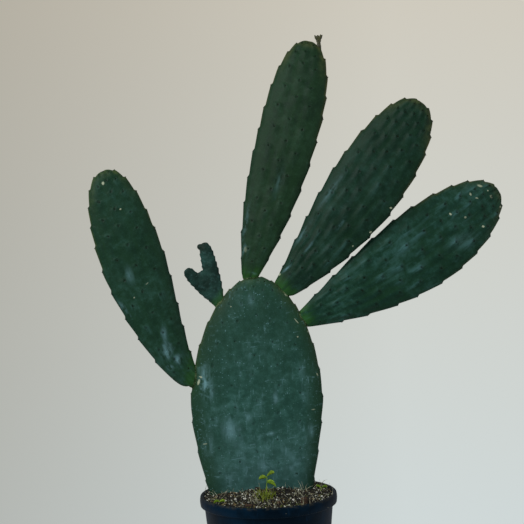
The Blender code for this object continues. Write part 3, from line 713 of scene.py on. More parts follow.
# scabs are the pads' own marks; the other lists are painted reflections of window light
padMarks = {  # on the front faces: across and up the pad, half length, half width, turn, strength
    "mainPad": {
        "scabs": [
            (0.05, 0.242, 0.0046, 0.0007, -52.0, 0.8), (-0.028, 0.265, 0.0008, 0.0007, 0.0, 0.7),
            (0.051, 0.223, 0.001, 0.0008, 20.0, 0.7), (0.073, 0.176, 0.0024, 0.0008, -70.0, 0.6),
            (-0.064, 0.104, 0.0028, 0.0007, 5.0, 0.6), (0.067, 0.135, 0.0028, 0.0008, 0.0, 0.4),
            (0.039, 0.275, 0.0036, 0.0024, -40.0, 0.8), (-0.069, 0.178, 0.004, 0.0015, 72.0, 0.8),
            (-0.066, 0.184, 0.0026, 0.0013, -25.0, 0.75), (0.064, 0.228, 0.001, 0.0016, 0.0, 0.5),
        ],
        "paintedReflectionMarks": [
            (-0.06, 0.176, 0.0085, 0.023, 8.0, 0.85), (0.047, 0.075, 0.0085, 0.0032, 38.0, 0.6),
            (0.036, 0.068, 0.005, 0.003, -30.0, 0.35), (-0.033, 0.119, 0.01, 0.017, 0.0, 0.5),
            (0.015, 0.111, 0.006, 0.003, 5.0, 0.45), (0.001, 0.107, 0.0026, 0.0034, 0.0, 0.45),
            (0.022, 0.152, 0.005, 0.007, 0.0, 0.45), (0.008, 0.072, 0.011, 0.008, -35.0, 0.45),
            (-0.038, 0.062, 0.006, 0.011, 0.0, 0.3), (0.056, 0.152, 0.006, 0.014, 0.0, 0.25),
            (0.064, 0.11, 0.004, 0.01, 0.0, 0.3), (-0.06, 0.1, 0.008, 0.015, 0.0, 0.28),
            (-0.012, 0.132, 0.007, 0.006, 0.0, 0.3), (-0.004, 0.27, 0.006, 0.01, 0.0, 0.16),
        ],
    },
    "topPad": {
        "scabs": [
            (-0.012, 0.031, 0.0024, 0.0034, 15.0, 0.22),
        ],
        "paintedReflectionMarks": [
            (0.004, 0.006, 0.007, 0.002, 0.0, 0.3), (-0.02, 0.062, 0.003, 0.026, 4.0, 0.4),
            (-0.015, 0.03, 0.003, 0.01, 0.0, 0.3), (0.006, 0.12, 0.005, 0.02, 0.0, 0.15),
        ],
    },
    "upperRightPad": {
        "scabs": [
            (0.041, 0.156, 0.0017, 0.0013, 30.0, 0.8), (0.038, 0.1185, 0.0018, 0.0012, 60.0, 0.8),
            (0.031, 0.093, 0.0012, 0.0011, 0.0, 0.6),
        ],
        "paintedReflectionMarks": [
            (-0.014, 0.024, 0.002, 0.009, -8.0, 0.45), (-0.026, 0.07, 0.003, 0.02, 4.0, 0.3),
            (-0.01, 0.06, 0.002, 0.01, 0.0, 0.35), (-0.03, 0.13, 0.004, 0.024, 0.0, 0.25),
            (0.004, 0.105, 0.0025, 0.011, 0.0, 0.3),
        ],
    },
    "lowerRightPad": {
        "scabs": [
            (-0.0197, 0.2705, 0.0036, 0.0016, 40.0, 0.6), (-0.0191, 0.2546, 0.002, 0.0014, 0.0, 0.7),
            (-0.0107, 0.2583, 0.0022, 0.0009, 40.0, 0.6), (-0.0091, 0.2756, 0.0012, 0.0012, 0.0, 0.7),
            (-0.0009, 0.275, 0.002, 0.0018, 0.0, 0.4), (0.017, 0.279, 0.0015, 0.0018, 0.0, 0.8),
            (-0.0151, 0.2201, 0.0019, 0.0014, 20.0, 0.8), (0.0217, 0.2468, 0.0022, 0.0016, 50.0, 0.8),
            (-0.0011, 0.2334, 0.0014, 0.0014, 0.0, 0.5),
        ],
        "paintedReflectionMarks": [
            (0.02, 0.215, 0.01, 0.022, -10.0, 0.15),
        ],
    },
    "leftPad": {
        "scabs": [
            (-0.004, 0.262, 0.0018, 0.0022, 0.0, 0.8), (0.006, 0.226, 0.0012, 0.0011, 0.0, 0.8),
            (-0.014, 0.124, 0.0011, 0.0009, 30.0, 0.6), (0.006, 0.133, 0.0026, 0.0006, 20.0, 0.5),
        ],
        "paintedReflectionMarks": [
            (-0.004, 0.05, 0.007, 0.011, -20.0, 0.6), (0.003, 0.036, 0.005, 0.007, -30.0, 0.75),
            (-0.01, 0.03, 0.004, 0.004, 0.0, 0.65), (0.002, 0.07, 0.004, 0.012, -15.0, 0.35),
            (-0.03, 0.118, 0.0025, 0.012, 15.0, 0.45), (-0.01, 0.15, 0.006, 0.012, 0.0, 0.25),
        ],
    },
}


# areole cushions
tuftInputs = {
    "cushion": 0.00075, "height": 0.0004, "bristle": 0.0010, "bristleWidth": 0.00006, "bristleCount": 5,
    "spread": 0.35, "seed": 7,
}
tuftRule = {
    "strayLimit": 0.0012, "firstAt": 0.06, "leastRoom": 0.0035, "jointRoom": 0.004, "aboveSoil": 0.004,
    "tones": ("0a140c", "26331c", "26331c"), "body": (2600.0, 3.0), "grain": (2600.0, 3.0),
    "fleck": (0.6, 0.7, 0.0), "matt": (0.1, 0.85), "depth": 0.0002, "specular": 0.04,
}


def tuftTree():
    tree, given = newTree("areoleTufts", tuftInputs, felt="Material")
    facing = recall(tree, "facing", "FLOAT_VECTOR")
    points = given["shape"]

    def aligned(way):
        return wire(tree, "FunctionNodeAlignRotationToVector", {"Vector": way}, axis="Z")

    dome = wire(tree, "GeometryNodeMeshUVSphere", {"Segments": 9, "Rings": 6, "Radius": 1.0}, "Mesh")
    swell = randomNumber(tree, given["seed"], 1.0 - given["spread"], given["spread"] + 1.0)
    size = scaled(join(given["cushion"], given["cushion"], given["height"]), swell)
    cushions = instances(points, dome, aligned(facing), Scale=size)
    copies = {"Geometry": points, "Amount": given["bristleCount"]}
    many = wire(tree, "GeometryNodeDuplicateElements", copies, "Geometry", domain="POINT")
    tilt = randomVector(tree, given["seed"] + 1.0, (-0.75, -0.75, -0.75), (0.75, 0.75, 0.75))
    cone = {"Vertices": 4, "Radius Top": 0.0, "Radius Bottom": given["bristleWidth"], "Depth": given["bristle"]}
    spike = wire(tree, "GeometryNodeMeshCone", cone, "Mesh")
    both = tree.nodes.new("GeometryNodeJoinGeometry")
    feed(both.inputs[0], instances(many, spike, aligned(vectorSum(facing, tilt))))
    feed(both.inputs[0], cushions)
    return closeTree(Wire(both.outputs[0]), given["felt"])


def readVectors(mesh, label, width=3):
    values = np.zeros(len(mesh.vertices) * width)
    mesh.attributes[label].data.foreach_get("vector" if width == 3 else "value", values)
    return values.reshape(-1, width)


def areolePlaces(piece, pad, buried):
    # the skin's own point nearest to the middle of each areole, on both faces and along both edges
    mesh = piece.data
    lattice, cell, share = (readVectors(mesh, label) for label in ("lattice", "cell", "share"))
    joint = readVectors(mesh, "joint", 1)[:, 0]
    line = np.round(lattice[:, 1])
    wander = np.sin(line * areoleRule["lineStep"] + pad["seed"]) * areoleRule["wander"]
    turn = lattice[:, 0] + 0.5 * (np.abs(line) % 2) + wander
    row = np.round(turn)
    stray = np.hypot((turn - row) * cell[:, 0], (lattice[:, 1] - line) * cell[:, 1])
    onEdge = np.abs(line) >= pad["columns"] / 2
    face = np.where(onEdge, 0, np.sign(share[:, 2]))
    usable = (stray < tuftRule["strayLimit"]) & (share[:, 0] > tuftRule["firstAt"])
    usable &= (cell[:, 1] > tuftRule["leastRoom"]) & (joint > tuftRule["jointRoom"])
    best = {}
    for k in np.nonzero(usable)[0]:
        key = (int(line[k]), int(row[k]), int(face[k]))
        score = stray[k] + (abs(share[k, 2]) * 0.002 if onEdge[k] else 0.0)
        if key not in best or score < best[key][0]:
            best[key] = (score, k)
    chosen = [mesh.vertices[k] for _, k in best.values()]
    return [(point.co.copy(), point.normal.copy()) for point in chosen if point.co.z > buried]


def growTufts(tree, name, places, values):
    mesh = bpy.data.meshes.new(name)
    mesh.from_pydata([place for place, _ in places], [], [])
    facing = mesh.attributes.new("facing", "FLOAT_VECTOR", "POINT")
    facing.data.foreach_set("vector", [part for _, normal in places for part in normal])
    return grow(bare(name, mesh), tree, values)


# the pot
pot = {
    "footRadius": 0.0619, "wallLean": 5.8, "wall": 0.0015, "floor": 0.0022, "footRound": 0.003, "smallRound": 0.001,
    "lipReach": 0.0046, "lipHeight": 0.0115, "lipWall": 0.0016, "lipBulge": 0.0005,
    "lipEdge": 0.0008, "lipGap": 0.0004,
    "holeRadius": 0.00275, "holeRing": 0.75, "holes": 8, "segments": 176, "height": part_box("nursery_pot")[1].z,
    "dark": "010a14", "light": "031a2b", "scuff": "12304a", "dust": "3d3a2e",
    "specular": 0.12, "specularTint": (0.30, 0.65, 1.0, 1.0),
}
mixture = {"belowRim": 0.0025, "mound": 0.0100, "roughness": 0.0012, "gap": 0.0003}


def wallRadius(height):
    return pot["footRadius"] + height * math.tan(math.radians(pot["wallLean"]))


def innerRadius(height):
    return wallRadius(height) - pot["wall"] / math.cos(math.radians(pot["wallLean"]))


def soilHeight(x, y):
    out = min(math.hypot(x, y) / innerRadius(pot["height"]), 1.0)
    uneven = math.sin(x * 170.0 + 1.3) * math.cos(y * 210.0 - 0.4) + 0.6 * math.sin((x + y) * 390.0)
    level = pot["height"] - mixture["belowRim"] + mixture["mound"] * (1.0 - out**2)
    return level + mixture["roughness"] * uneven * (1.0 - out**4)


def arc(middle, radius, first, last, steps):
    turns = [math.radians(first + (last - first) * k / steps) for k in range(steps + 1)]
    return [(middle[0] + radius * math.cos(turn), middle[1] + radius * math.sin(turn)) for turn in turns]


def potProfile():
    # up the outside, over the lip and down the inside: distance from the axis, height
    top, lipWall, footRound, small = pot["height"], pot["lipWall"], pot["footRound"], pot["smallRound"]
    lipFoot, outside = top - pot["lipHeight"], wallRadius(top - pot["lipHeight"]) + pot["lipReach"]
    under, inside = top - lipWall, outside - lipWall
    edge, gap = pot["lipEdge"], pot["lipGap"]
    shoulder, floorRound = 2.0 * pot["wall"], pot["floor"] + 2.0 * small
    points = [(0.0, 0.0), *arc((pot["footRadius"] - footRound, footRound), footRound, -90.0, 0.0, 8)]
    points += [(wallRadius(h), h) for h in np.linspace(4.0 * footRound, under - small, 14)]
    points += arc((wallRadius(under) + small, under - small), small, 180.0, 90.0, 4)
    points += [(inside - edge, under), (inside, under - edge), (inside, lipFoot + edge - gap / 2)]
    points += arc((outside - lipWall / 2, lipFoot + gap), lipWall / 2, 180.0, 360.0, 8)
    for s in (0.15, 0.3, 0.5, 0.7, 0.85):
        bulge = pot["lipBulge"] * math.sin(math.pi * s)
        points.append((outside + bulge, lipFoot + small + (under - lipFoot - small) * s))
    points += arc((inside, under), lipWall, 0.0, 90.0, 8)
    points += arc((innerRadius(top) + shoulder, top - shoulder), shoulder, 90.0, 174.0, 8)
    points += [(innerRadius(h), h) for h in np.linspace(top - shoulder - small, floorRound, 12)]
    points += arc((innerRadius(pot["floor"]) - 2.0 * small, floorRound), 2.0 * small, 0.0, -90.0, 5)
    return points + [(0.0, pot["floor"])]


def ringPoints(radius, height, sides):
    return [(radius * math.cos(turn), radius * math.sin(turn), height) for turn in roundTurns(sides)]


def latheRings(profile, sides):
    # closed at both ends on the axis
    points = [point for radius, height in profile[1:-1] for point in ringPoints(radius, height, sides)]
    faces = bands(len(profile) - 2, sides)
    for end, low in ((profile[0], 0), (profile[-1], (len(profile) - 3) * sides)):
        points.append((0.0, 0.0, end[1]))
        faces += fan(len(points) - 1, low, sides, True)
    return points, faces


def potFinish():
    finish, shader, place = newFinish("potPlastic", pot["specular"])
    height = split(place)[2]
    grain = cloud(place, 1400.0, 2.0)
    scuff = cloud(stretched(place, (1.0, 1.0, 0.12)), 260.0, 4.0, 0.65)
    smear = cloud(place, 34.0, 4.0, 0.6)
    colour = mix(smear.smooth(0.35, 0.65), pot["dark"], pot["light"])
    colour = mix(scuff.smooth(0.60, 0.72) * 0.30, colour, pot["scuff"])
    dusty = height.smooth(pot["height"] - 0.004, pot["height"] + 0.0005)
    dusty = dusty * cloud(place, 190.0, 4.0, 0.7).smooth(0.42, 0.62)
    film = (1.0 - height.smooth(0.0, 0.03)) * smear.smooth(0.4, 0.7) * 0.5
    colour = mix((dusty * 0.75 + film).clamp(), colour, pot["dust"])
    roughness = smear * 0.18 + 0.36 + dusty * 0.4 + scuff.smooth(0.6, 0.72) * 0.1
    wear(shader, colour, roughness, grain * 0.15 + scuff * 0.3 + dusty * 0.6, 0.0003)
    shader.inputs["Specular Tint"].default_value = pot["specularTint"]
    return finish


def nurseryPot(finish):
    made = plainPiece("nurseryPot", *latheRings(potProfile(), pot["segments"]), finish)
    ring, radius = pot["footRadius"] * pot["holeRing"], pot["holeRadius"]
    cutters = []
    for turn in roundTurns(pot["holes"], 0.5):
        shape = bmesh.new()
        place = Matrix.Translation((ring * math.cos(turn), ring * math.sin(turn), pot["floor"] / 2))
        bmesh.ops.create_cone(
            shape, cap_ends=True, segments=32, radius1=radius, radius2=radius, depth=pot["floor"] * 4, matrix=place,
        )
        cutters.append(bare("drainHole", meshFrom("drainHole", shape)))
        cut = made.modifiers.new("drainHole", "BOOLEAN")
        cut.operation, cut.solver, cut.object = "DIFFERENCE", "EXACT", cutters[-1]
    settle(made)
    for cutter in cutters:
        bpy.data.objects.remove(cutter, do_unlink=True)
    return made


# potting mix and what lies on it
groundRule = {
    "rings": 84, "segments": 260, "crumb": 0.0016, "clod": 0.0018, "fine": 0.0006, "skirtRings": 8,
    "skirtTop": 0.008,
    "clodScale": 160.0, "crumbScale": 420.0, "gritScale": 900.0, "fineScale": 1500.0,
    "dark": "0c0a06", "light": "241e13", "moss": "3c4720", "grit": "8d8468",
}


def mixFinish():
    finish, shader, place = newFinish("pottingMixEarth")
    lumps, grit, patch = cloud(place, 240.0, 5.0, 0.7), cloud(place, 1100.0, 3.0, 0.7), cloud(place, 55.0, 3.0)
    colour = mix(lumps.smooth(0.35, 0.65), groundRule["dark"], groundRule["light"])
    colour = mix(patch.smooth(0.48, 0.66) * lumps.smooth(0.4, 0.6) * 0.65, colour, groundRule["moss"])
    colour = mix(grit.smooth(0.62, 0.70) * 0.7, colour, groundRule["grit"])
    wear(shader, colour, grit * 0.1 + 0.88, lumps * 0.7 + grit * 0.3, 0.0014)
    return finish


def pottingMix(finish):
    # the mounded top with crumbs worked into it, then a skirt down the inside of the pot
    rings, sides, gap = groundRule["rings"], groundRule["segments"], mixture["gap"]
    below, foot = pot["height"] - mixture["belowRim"], pot["floor"] + gap
    rim = innerRadius(below) - gap
    points = []
    for ring in range(rings):
        for x, y, _ in ringPoints(rim * (1.0 - ring / rings), 0.0, sides):
            spot = Vector((x, y, 0.0))
            clods = noise.noise(spot * groundRule["clodScale"]) * groundRule["clod"]
            gritty = 0.4 * abs(noise.noise(spot * groundRule["gritScale"]))
            crumbs = (noise.noise(spot * groundRule["crumbScale"]) - gritty) * groundRule["crumb"]
            fine = noise.noise(spot * groundRule["fineScale"]) * groundRule["fine"]
            points.append((x, y, soilHeight(x, y) + (clods + crumbs + fine) * min(1.0, ring / 2.0)))
    points.append((0.0, 0.0, soilHeight(0.0, 0.0)))
    faces = bands(rings, sides) + fan(len(points) - 1, (rings - 1) * sides, sides)
    low = 0
    for height in np.linspace(below - groundRule["skirtTop"], foot, groundRule["skirtRings"]):
        first = len(points)
        atFloor = height < pot["floor"] + 0.001
        points += ringPoints(innerRadius(height) - gap - (0.002 if atFloor else 0.0), height, sides)
        for k, after in ((k, (k + 1) % sides) for k in range(sides)):
            faces.append((low + k, first + k, first + after, low + after))
        low = first
    points.append((0.0, 0.0, foot))
    faces += fan(len(points) - 1, low, sides, True)
    return plainPiece("pottingMix", points, faces, finish)


def strewnOver(tree, given, fade):
    # points spread over the faces that look up, the turn of each and a number from 0 to 1
    away = vectorMath("DISTANCE", wire(tree, "GeometryNodeInputPosition"), given["middle"], 1, "Value")
    upward = split(wire(tree, "GeometryNodeInputNormal"))[2].smooth(0.2, 0.4)
    density = away.smooth(given["reach"], given["reach"] * fade) * given["density"] * upward
    inputs = {"Mesh": given["shape"], "Seed": given["seed"], "Density": density}
    points = wire(tree, "GeometryNodeDistributePointsOnFaces", inputs, "Points")
    tilt, back = given["tilt"], given["tilt"] * -1.0
    turn = randomVector(tree, given["seed"] + 1.0, join(back, back, -math.pi), join(tilt, tilt, math.pi))
    return points, turn, randomNumber(tree, given["seed"] + 2.0)


def scatterTree():
    # lumps of several shapes strewn over a surface
    tree, given = newTree("strewnLumps", lumpInputs, finish="Material")
    points, turn, pick = strewnOver(tree, given, 0.6)
    lumps = tree.nodes.new("GeometryNodeGeometryToInstance")
    for shapeNumber in range(4):
        sides = {"Size": (1.0, 1.0, 1.0), **{"Vertices " + way: 3 for way in "XYZ"}}
        cube = wire(tree, "GeometryNodeMeshCube", sides, "Mesh")
        spot = wire(tree, "GeometryNodeInputPosition")
        unit = wire(tree, "ShaderNodeVectorMath", {0: spot}, operation="NORMALIZE")
        rounded = vectorSum(scaled(spot, 0.35), scaled(unit, 0.36))
        bumps = cloud(vectorSum(spot, (3.7 * shapeNumber, 0.0, 0.0)), 1.9, 2.0) - 0.5
        feed(lumps.inputs[0], moved(cube, scaled(rounded, bumps * given["roughness"] * 2.0 + 1.0)))
    size = given["smallest"] + (given["largest"] - given["smallest"]) * pick ** 2.0
    choice = {"Pick Instance": True, "Scale": scaled(given["stretch"], size)}
    strewn = instances(points, Wire(lumps.outputs[0]), turn, **choice)
    lift = {"Instances": strewn, "Translation": join(0.0, 0.0, given["lift"] * size), "Local Space": False}
    return closeTree(wire(tree, "GeometryNodeTranslateInstances", lift), given["finish"])


def bladeTree():
    # bent threads, blades and fibres strewn over a surface
    tree, given = newTree("strewnBlades", bladeInputs, finish="Material")
    points, turn, pick = strewnOver(tree, given, 0.5)
    ends = {"Start": (0.0, 0.0, 0.0), "Middle": (0.0, 0.0, 0.55), "End": join(given["bend"], 0.0, 0.9)}
    bent = wire(tree, "GeometryNodeCurveQuadraticBezier", {"Resolution": 5, **ends})
    section = {"Resolution": 4, "Radius": given["width"] / given["largest"]}
    section = wire(tree, "GeometryNodeCurvePrimitiveCircle", section)
    along = wire(tree, "GeometryNodeSplineParameter", output="Factor")
    sweep = {"Curve": bent, "Profile Curve": section, "Fill Caps": True, "Scale": 1.0 - along ** 2.0 * 0.8}
    size = given["smallest"] + (given["largest"] - given["smallest"]) * pick
    blade = wire(tree, "GeometryNodeCurveToMesh", sweep)
    return closeTree(instances(points, blade, turn, Scale=join(size, size, size)), given["finish"])


lumpInputs = {
    "density": 1000.0, "smallest": 0.001, "largest": 0.003, "stretch": (1.0, 1.0, 1.0), "tilt": 3.0,
    "middle": (0.0, 0.0, 0.0), "reach": 1.0, "lift": 0.0, "roughness": 0.5, "seed": 0,
}
bladeInputs = {
    "density": 1000.0, "smallest": 0.003, "largest": 0.008, "width": 0.0003, "bend": 0.5, "tilt": 0.6,
    "middle": (0.0, 0.0, 0.0), "reach": 1.0, "seed": 0,
}
fineGrain = {"body": (210.0, 3.0), "grain": (1400.0, 4.0, 0.65), "depth": 0.0001}
strewn = {
    "mixCrumbs": {"density": 150000.0, "smallest": 0.0010, "largest": 0.0040, "stretch": (1.0, 0.8, 0.7), "seed": 3,
                  "finish": "mixCrumbEarth", "tones": ("0b0906", "231d12", "4b4628"), "matt": (0.12, 0.88)},
    "paleGrit": {"density": 30000.0, "smallest": 0.0007, "largest": 0.0027, "stretch": (1.0, 0.9, 0.8), "seed": 11,
                 "lift": 0.20, "finish": "perliteGrit", "tones": ("a5a595", "dcdccd", "6a6b58")},
    "barkSlivers": {"density": 26000.0, "smallest": 0.0016, "largest": 0.0060, "stretch": (1.3, 0.30, 0.24),
                    "seed": 23, "tilt": 0.5, "lift": 0.12,
                    "finish": "barkSliverTan", "tones": ("3d3018", "85744a", "221a0e"), "matt": (0.12, 0.8)},
    "greenCrumbs": {"density": 42000.0, "smallest": 0.0008, "largest": 0.0026, "stretch": (1.0, 0.9, 0.6),
                    "seed": 37, "lift": 0.1, "finish": "mossCrumbGreen", "tones": ("29310f", "4f5a20", "7c8040")},
}
blades = {
    "mossTuft": {"density": 230000.0, "smallest": 0.0040, "largest": 0.0125, "width": 0.00050, "bend": 0.30,
                 "tilt": 0.6, "reach": 0.013, "seed": 5,
                 "finish": "mossGreen", "tones": ("526113", "8b9828", "b2b444"), "matt": (0.12, 0.6), **fineGrain},
    "rootFibres": {"density": 19000.0, "smallest": 0.004, "largest": 0.011, "width": 0.00030, "bend": 0.9,
                   "tilt": 1.35, "reach": 1.0, "seed": 8,
                   "finish": "rootFibrePale", "tones": ("8a8768", "c6c4aa", "67634a"), "matt": (0.12, 0.75),
                   **fineGrain},
}


def growGround(mixPiece):
    # the moss stands round the middle seedling
    x, y = (share * mouth for share in seedlings["seedlingCentre"]["place"])
    for tree, defaults, rules in ((scatterTree(), lumpInputs, strewn), (bladeTree(), bladeInputs, blades)):
        for name, rule in rules.items():
            finish = flecked(rule["finish"], rule)[0]
            values = {**defaults, **rule, "middle": (x, y, soilHeight(x, y)), "finish": finish}
            piece = grow(bare(name, mixPiece.data.copy()), tree, values)
            print(name, "faces:", len(piece.data.polygons))


# chips and grains that are pieces of their own
lumpKinds = {
    "barkBrown": {"tones": ("2c1c10", "5d3f24", "8a6a44"), "matt": (0.12, 0.82), "body": (126.0, 3.0),
                  "grain": (840.0, 4.0, 0.65), "depth": 0.0006, "rough": 0.16, "boxy": 0.45},
    "perliteWhite": {"tones": ("c4c1b2", "e4e2d8", "9c9886"), "matt": (0.12, 0.88), "body": (210.0, 3.0),
                     "grain": (1400.0, 4.0, 0.65), "depth": 0.0004, "rough": 0.20, "boxy": 0.15},
}
chips = {
    **{f"barkChip{k}": {"kind": "barkBrown", "node": f"bark_chip_{k}"} for k in range(1, 4)},
    **{f"perliteGrain{k}": {"kind": "perliteWhite", "node": f"perlite_grain_{k}"} for k in range(1, 7)},
}
brokenWaves = ((1.7, 1.0), (4.5, 0.5), (11.0, 0.2))  # scale and size of each


def looseChip(name, node, kind, finish):
    # a broken lump that fills the space its solid holds
    low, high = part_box(node)
    middle, half = (low + high) / 2, (high - low) / 2
    shape = bmesh.new()
    bmesh.ops.create_icosphere(shape, subdivisions=4, radius=1.0)
    seed = Vector((middle.x * 900.0, middle.y * 900.0, 3.0))
    for vertex in shape.verts:
        way = vertex.co.normalized()
        form = way.lerp(way / max(abs(part) for part in way) * 0.82, kind["boxy"])
        form *= 1.0 + kind["rough"] * sum(size * noise.noise(way * scale + seed) for scale, size in brokenWaves)
        vertex.co = middle + Vector(part * reach for part, reach in zip(form, half))
    return finished(name, meshFrom(name, shape), finish)


# seedlings: place in shares of the mouth's radius, stem height and lean
# each leaf: pitch, turn, length, and its place up the stem
seedlings = {
    "seedlingCentre": {"node": "seedling_centre", "place": (-0.039, -0.597), "height": 0.026, "lean": 4.0,
                       "leaves": [(15.0, 200.0, 0.010, 0.92), (40.0, 15.0, 0.010, 0.98),
                                  (0.0, 335.0, 0.013, 0.72)]},
    "seedlingLeft": {"node": "seedling_left", "place": (-0.734, -0.591), "height": 0.003, "lean": -8.0,
                     "leaves": [(12.0, 190.0, 0.007, 0.85), (15.0, 350.0, 0.007, 0.9)]},
    "seedlingRight": {"node": "seedling_right", "place": (0.812, -0.182), "height": 0.006, "lean": 10.0,
                      "leaves": [(35.0, 150.0, 0.007, 0.8), (25.0, 10.0, 0.007, 0.9)]},
}
stemRule = {
    "radius": 0.00055, "sides": 12, "rings": 18, "root": 0.004, "sway": 0.0006, "leafRings": 22, "leafSides": 20,
    "leafWidth": 0.33, "leafThickness": 0.028, "leafRoll": 1.5, "droop": 0.35,
    "tones": ("5a7c12", "8fae24", "c6cc5c"), "body": (260.0, 3.0), "grain": (1600.0, 3.0),
    "fleck": (0.58, 0.70, 0.5), "matt": (0.15, 0.42), "depth": 0.00012,
}


def seedlingFinish():
    finish, shader = flecked("seedlingGreen", stemRule)
    for part, value in (("Weight", 0.15), ("Radius", (0.002, 0.003, 0.001)), ("Scale", 0.3)):
        shader.inputs["Subsurface " + part].default_value = value
    return finish


def tubeRings(rings, sides):
    # faces between closed rings, with a fan at each end whose points come last
    ends = rings * sides
    return bands(rings, sides) + fan(ends, 0, sides, True) + fan(ends + 1, ends - sides, sides)


def leafPoints(foot, pitch, yaw, length):
    # a folded blade that droops towards its tip
    out = Vector((math.cos(yaw), math.sin(yaw), 0.0))
    roll = stemRule["leafRoll"] * (1.0 if math.cos(yaw) < 0.0 else -1.0)
    across = Vector((-math.sin(yaw), math.cos(yaw), roll)).normalized()
    top = out.cross(across)
    top = top if top.z > 0.0 else -top
    droop, rings, points = stemRule["droop"], stemRule["leafRings"], []

    def ahead(along, angle):
        return foot + (out * math.cos(angle) + Vector((0.0, 0.0, math.sin(angle)))) * length * along

    for ring in range(rings):
        along = 0.5 - 0.5 * math.cos(math.pi * (ring + 0.5) / rings)
        swell = math.sin(math.pi * (ring + 0.5) / rings)
        wide = stemRule["leafWidth"] * length * swell * (0.75 + 0.5 * along)
        middle = ahead(along, pitch - droop * along * along)
        for turn in roundTurns(stemRule["leafSides"]):
            a = math.cos(turn)
            fold = 0.35 * wide * abs(a) ** 1.3 - 0.03 * length * math.exp(-((a * 5.0) ** 2))
            thick = stemRule["leafThickness"] * length * swell * math.sin(turn)
            points.append(middle + across * wide * a + top * (thick + fold))
    return [*points, foot, ahead(1.0, pitch - droop)]


def seedling(name, size, finish):
    x, y = (share * mouth for share in size["place"])
    ground, lean = soilHeight(x, y), math.radians(size["lean"])
    up = Vector((math.sin(lean), 0.0, math.cos(lean)))
    root = Vector((x, y, ground)) - up * stemRule["root"]
    tall = size["height"] + stemRule["root"]
    rings, sides, points = stemRule["rings"], stemRule["sides"], []
    for ring in range(rings):
        share = ring / (rings - 1)
        sway = Vector((math.sin(share * 3.0 + x * 50.0), math.cos(share * 2.3), 0.0)) * stemRule["sway"] * share
        middle = root + up * tall * share + sway
        thick = stemRule["radius"] * (1.1 - 0.45 * share)
        points += [middle + Vector(point) for point in ringPoints(thick, 0.0, sides)]
    points += [root, middle]
    faces = tubeRings(rings, sides)
    for pitch, yaw, length, share in size["leaves"]:
        foot, first = Vector((x, y, ground)) + up * size["height"] * share, len(points)
        points += leafPoints(foot, math.radians(pitch), math.radians(yaw), length)
        leaf = tubeRings(stemRule["leafRings"], stemRule["leafSides"])
        faces += [tuple(first + corner for corner in face) for face in leaf]
    return plainPiece(name, points, faces, finish)


# the forked pad and the bud
forkRule = {
    "voxel": 0.0006, "smoothing": 2, "knobAt": 0.95, "knobRadius": 0.0036, "crumple": 0.0003, "detail": 0.45,
    "deep": "162c25", "mid": "25443c", "bloom": "3f6460", "pale": "557872", "dry": "54482e", "specular": 0.11,
}
budRule = {
    "sitsAt": 0.984, "height": 0.0145, "footRadius": 0.0027, "crownRadius": 0.0047, "lean": -18.0, "sides": 48,
    "scales": 7, "tones": ("22220f", "474821", "756f3c"), "body": (330.0, 4.0, 0.65), "grain": (1500.0, 3.0),
    "blend": (0.38, 0.62), "fleck": (0.55, 0.70, 0.45), "matt": (0.2, 0.5), "relief": 0.5, "depth": 0.0006,
}


def forkSkin():
    finish, shader, place = newFinish("forkedPadSkin", forkRule["specular"])
    joint = attribute(finish.node_tree, "joint", "Fac")
    patch, mottle = cloud(place, 60.0, 3.0), cloud(place, 210.0, 4.0, 0.65)
    grain = cloud(place, 1200.0, 3.0, 0.65)
    corky = (joint + (mottle - 0.5) * 0.004).smooth(0.0016, 0.0006)
    colour = mix(patch.smooth(0.35, 0.65), forkRule["deep"], forkRule["mid"])
    for amount, shade in (
        (mottle.smooth(0.52, 0.68) * 0.35, forkRule["bloom"]),
        (grain.smooth(0.60, 0.74) * 0.20, forkRule["pale"]),
        (joint.smooth(0.052, 0.078) * mottle.smooth(0.35, 0.6) * 0.55, forkRule["dry"]),
        (joint.smooth(0.012, 0.002) * 0.45, jointColours["fresh"]),
        (corky * 0.85, mix(grain.smooth(0.35, 0.65), jointColours["cork"], jointColours["paleCork"])),
    ):
        colour = mix(amount, colour, shade)
    wear(shader, colour, mottle * 0.2 + 0.45 + corky * 0.2, mottle * 0.5 + grain * 0.12, 0.0007)
    return finish


def forkedPad(tree, trunk, finish):
    # three small pads and a knob, run together into one skin
    fingerHere = seated(finger, trunk)
    limbs = [growPad(tree, {**limb, "base": fingerHere["base"]}, finish, forkRule["detail"])
             for limb in (finger, thumb, palm)]
    shape = bmesh.new()
    for limb in limbs:
        shape.from_mesh(limb.data)
    knob = Matrix.Translation(padEdge(fingerHere, forkRule["knobAt"], -1))
    bmesh.ops.create_icosphere(shape, subdivisions=3, radius=forkRule["knobRadius"], matrix=knob)
    made = finished("forkedPad", meshFrom("forkedPad", shape), finish)
    remesh = made.modifiers.new("oneSkin", "REMESH")
    remesh.mode, remesh.voxel_size, remesh.use_smooth_shade = "VOXEL", forkRule["voxel"], True
    settle(made)
    shape = bmesh.new()
    shape.from_mesh(made.data)
    for _ in range(forkRule["smoothing"]):
        axes = {"use_axis_" + axis: True for axis in "xyz"}
        bmesh.ops.smooth_vert(shape, verts=shape.verts, factor=0.5, **axes)
    shape.normal_update()
    for vertex in shape.verts:
        crumple = noise.noise(vertex.co * 130.0) + 0.5 * noise.noise(vertex.co * 330.0)
        vertex.co += vertex.normal * crumple * forkRule["crumple"]
    shape.to_mesh(made.data)
    shape.free()
    for limb in limbs:
        bpy.data.objects.remove(limb, do_unlink=True)
    return made


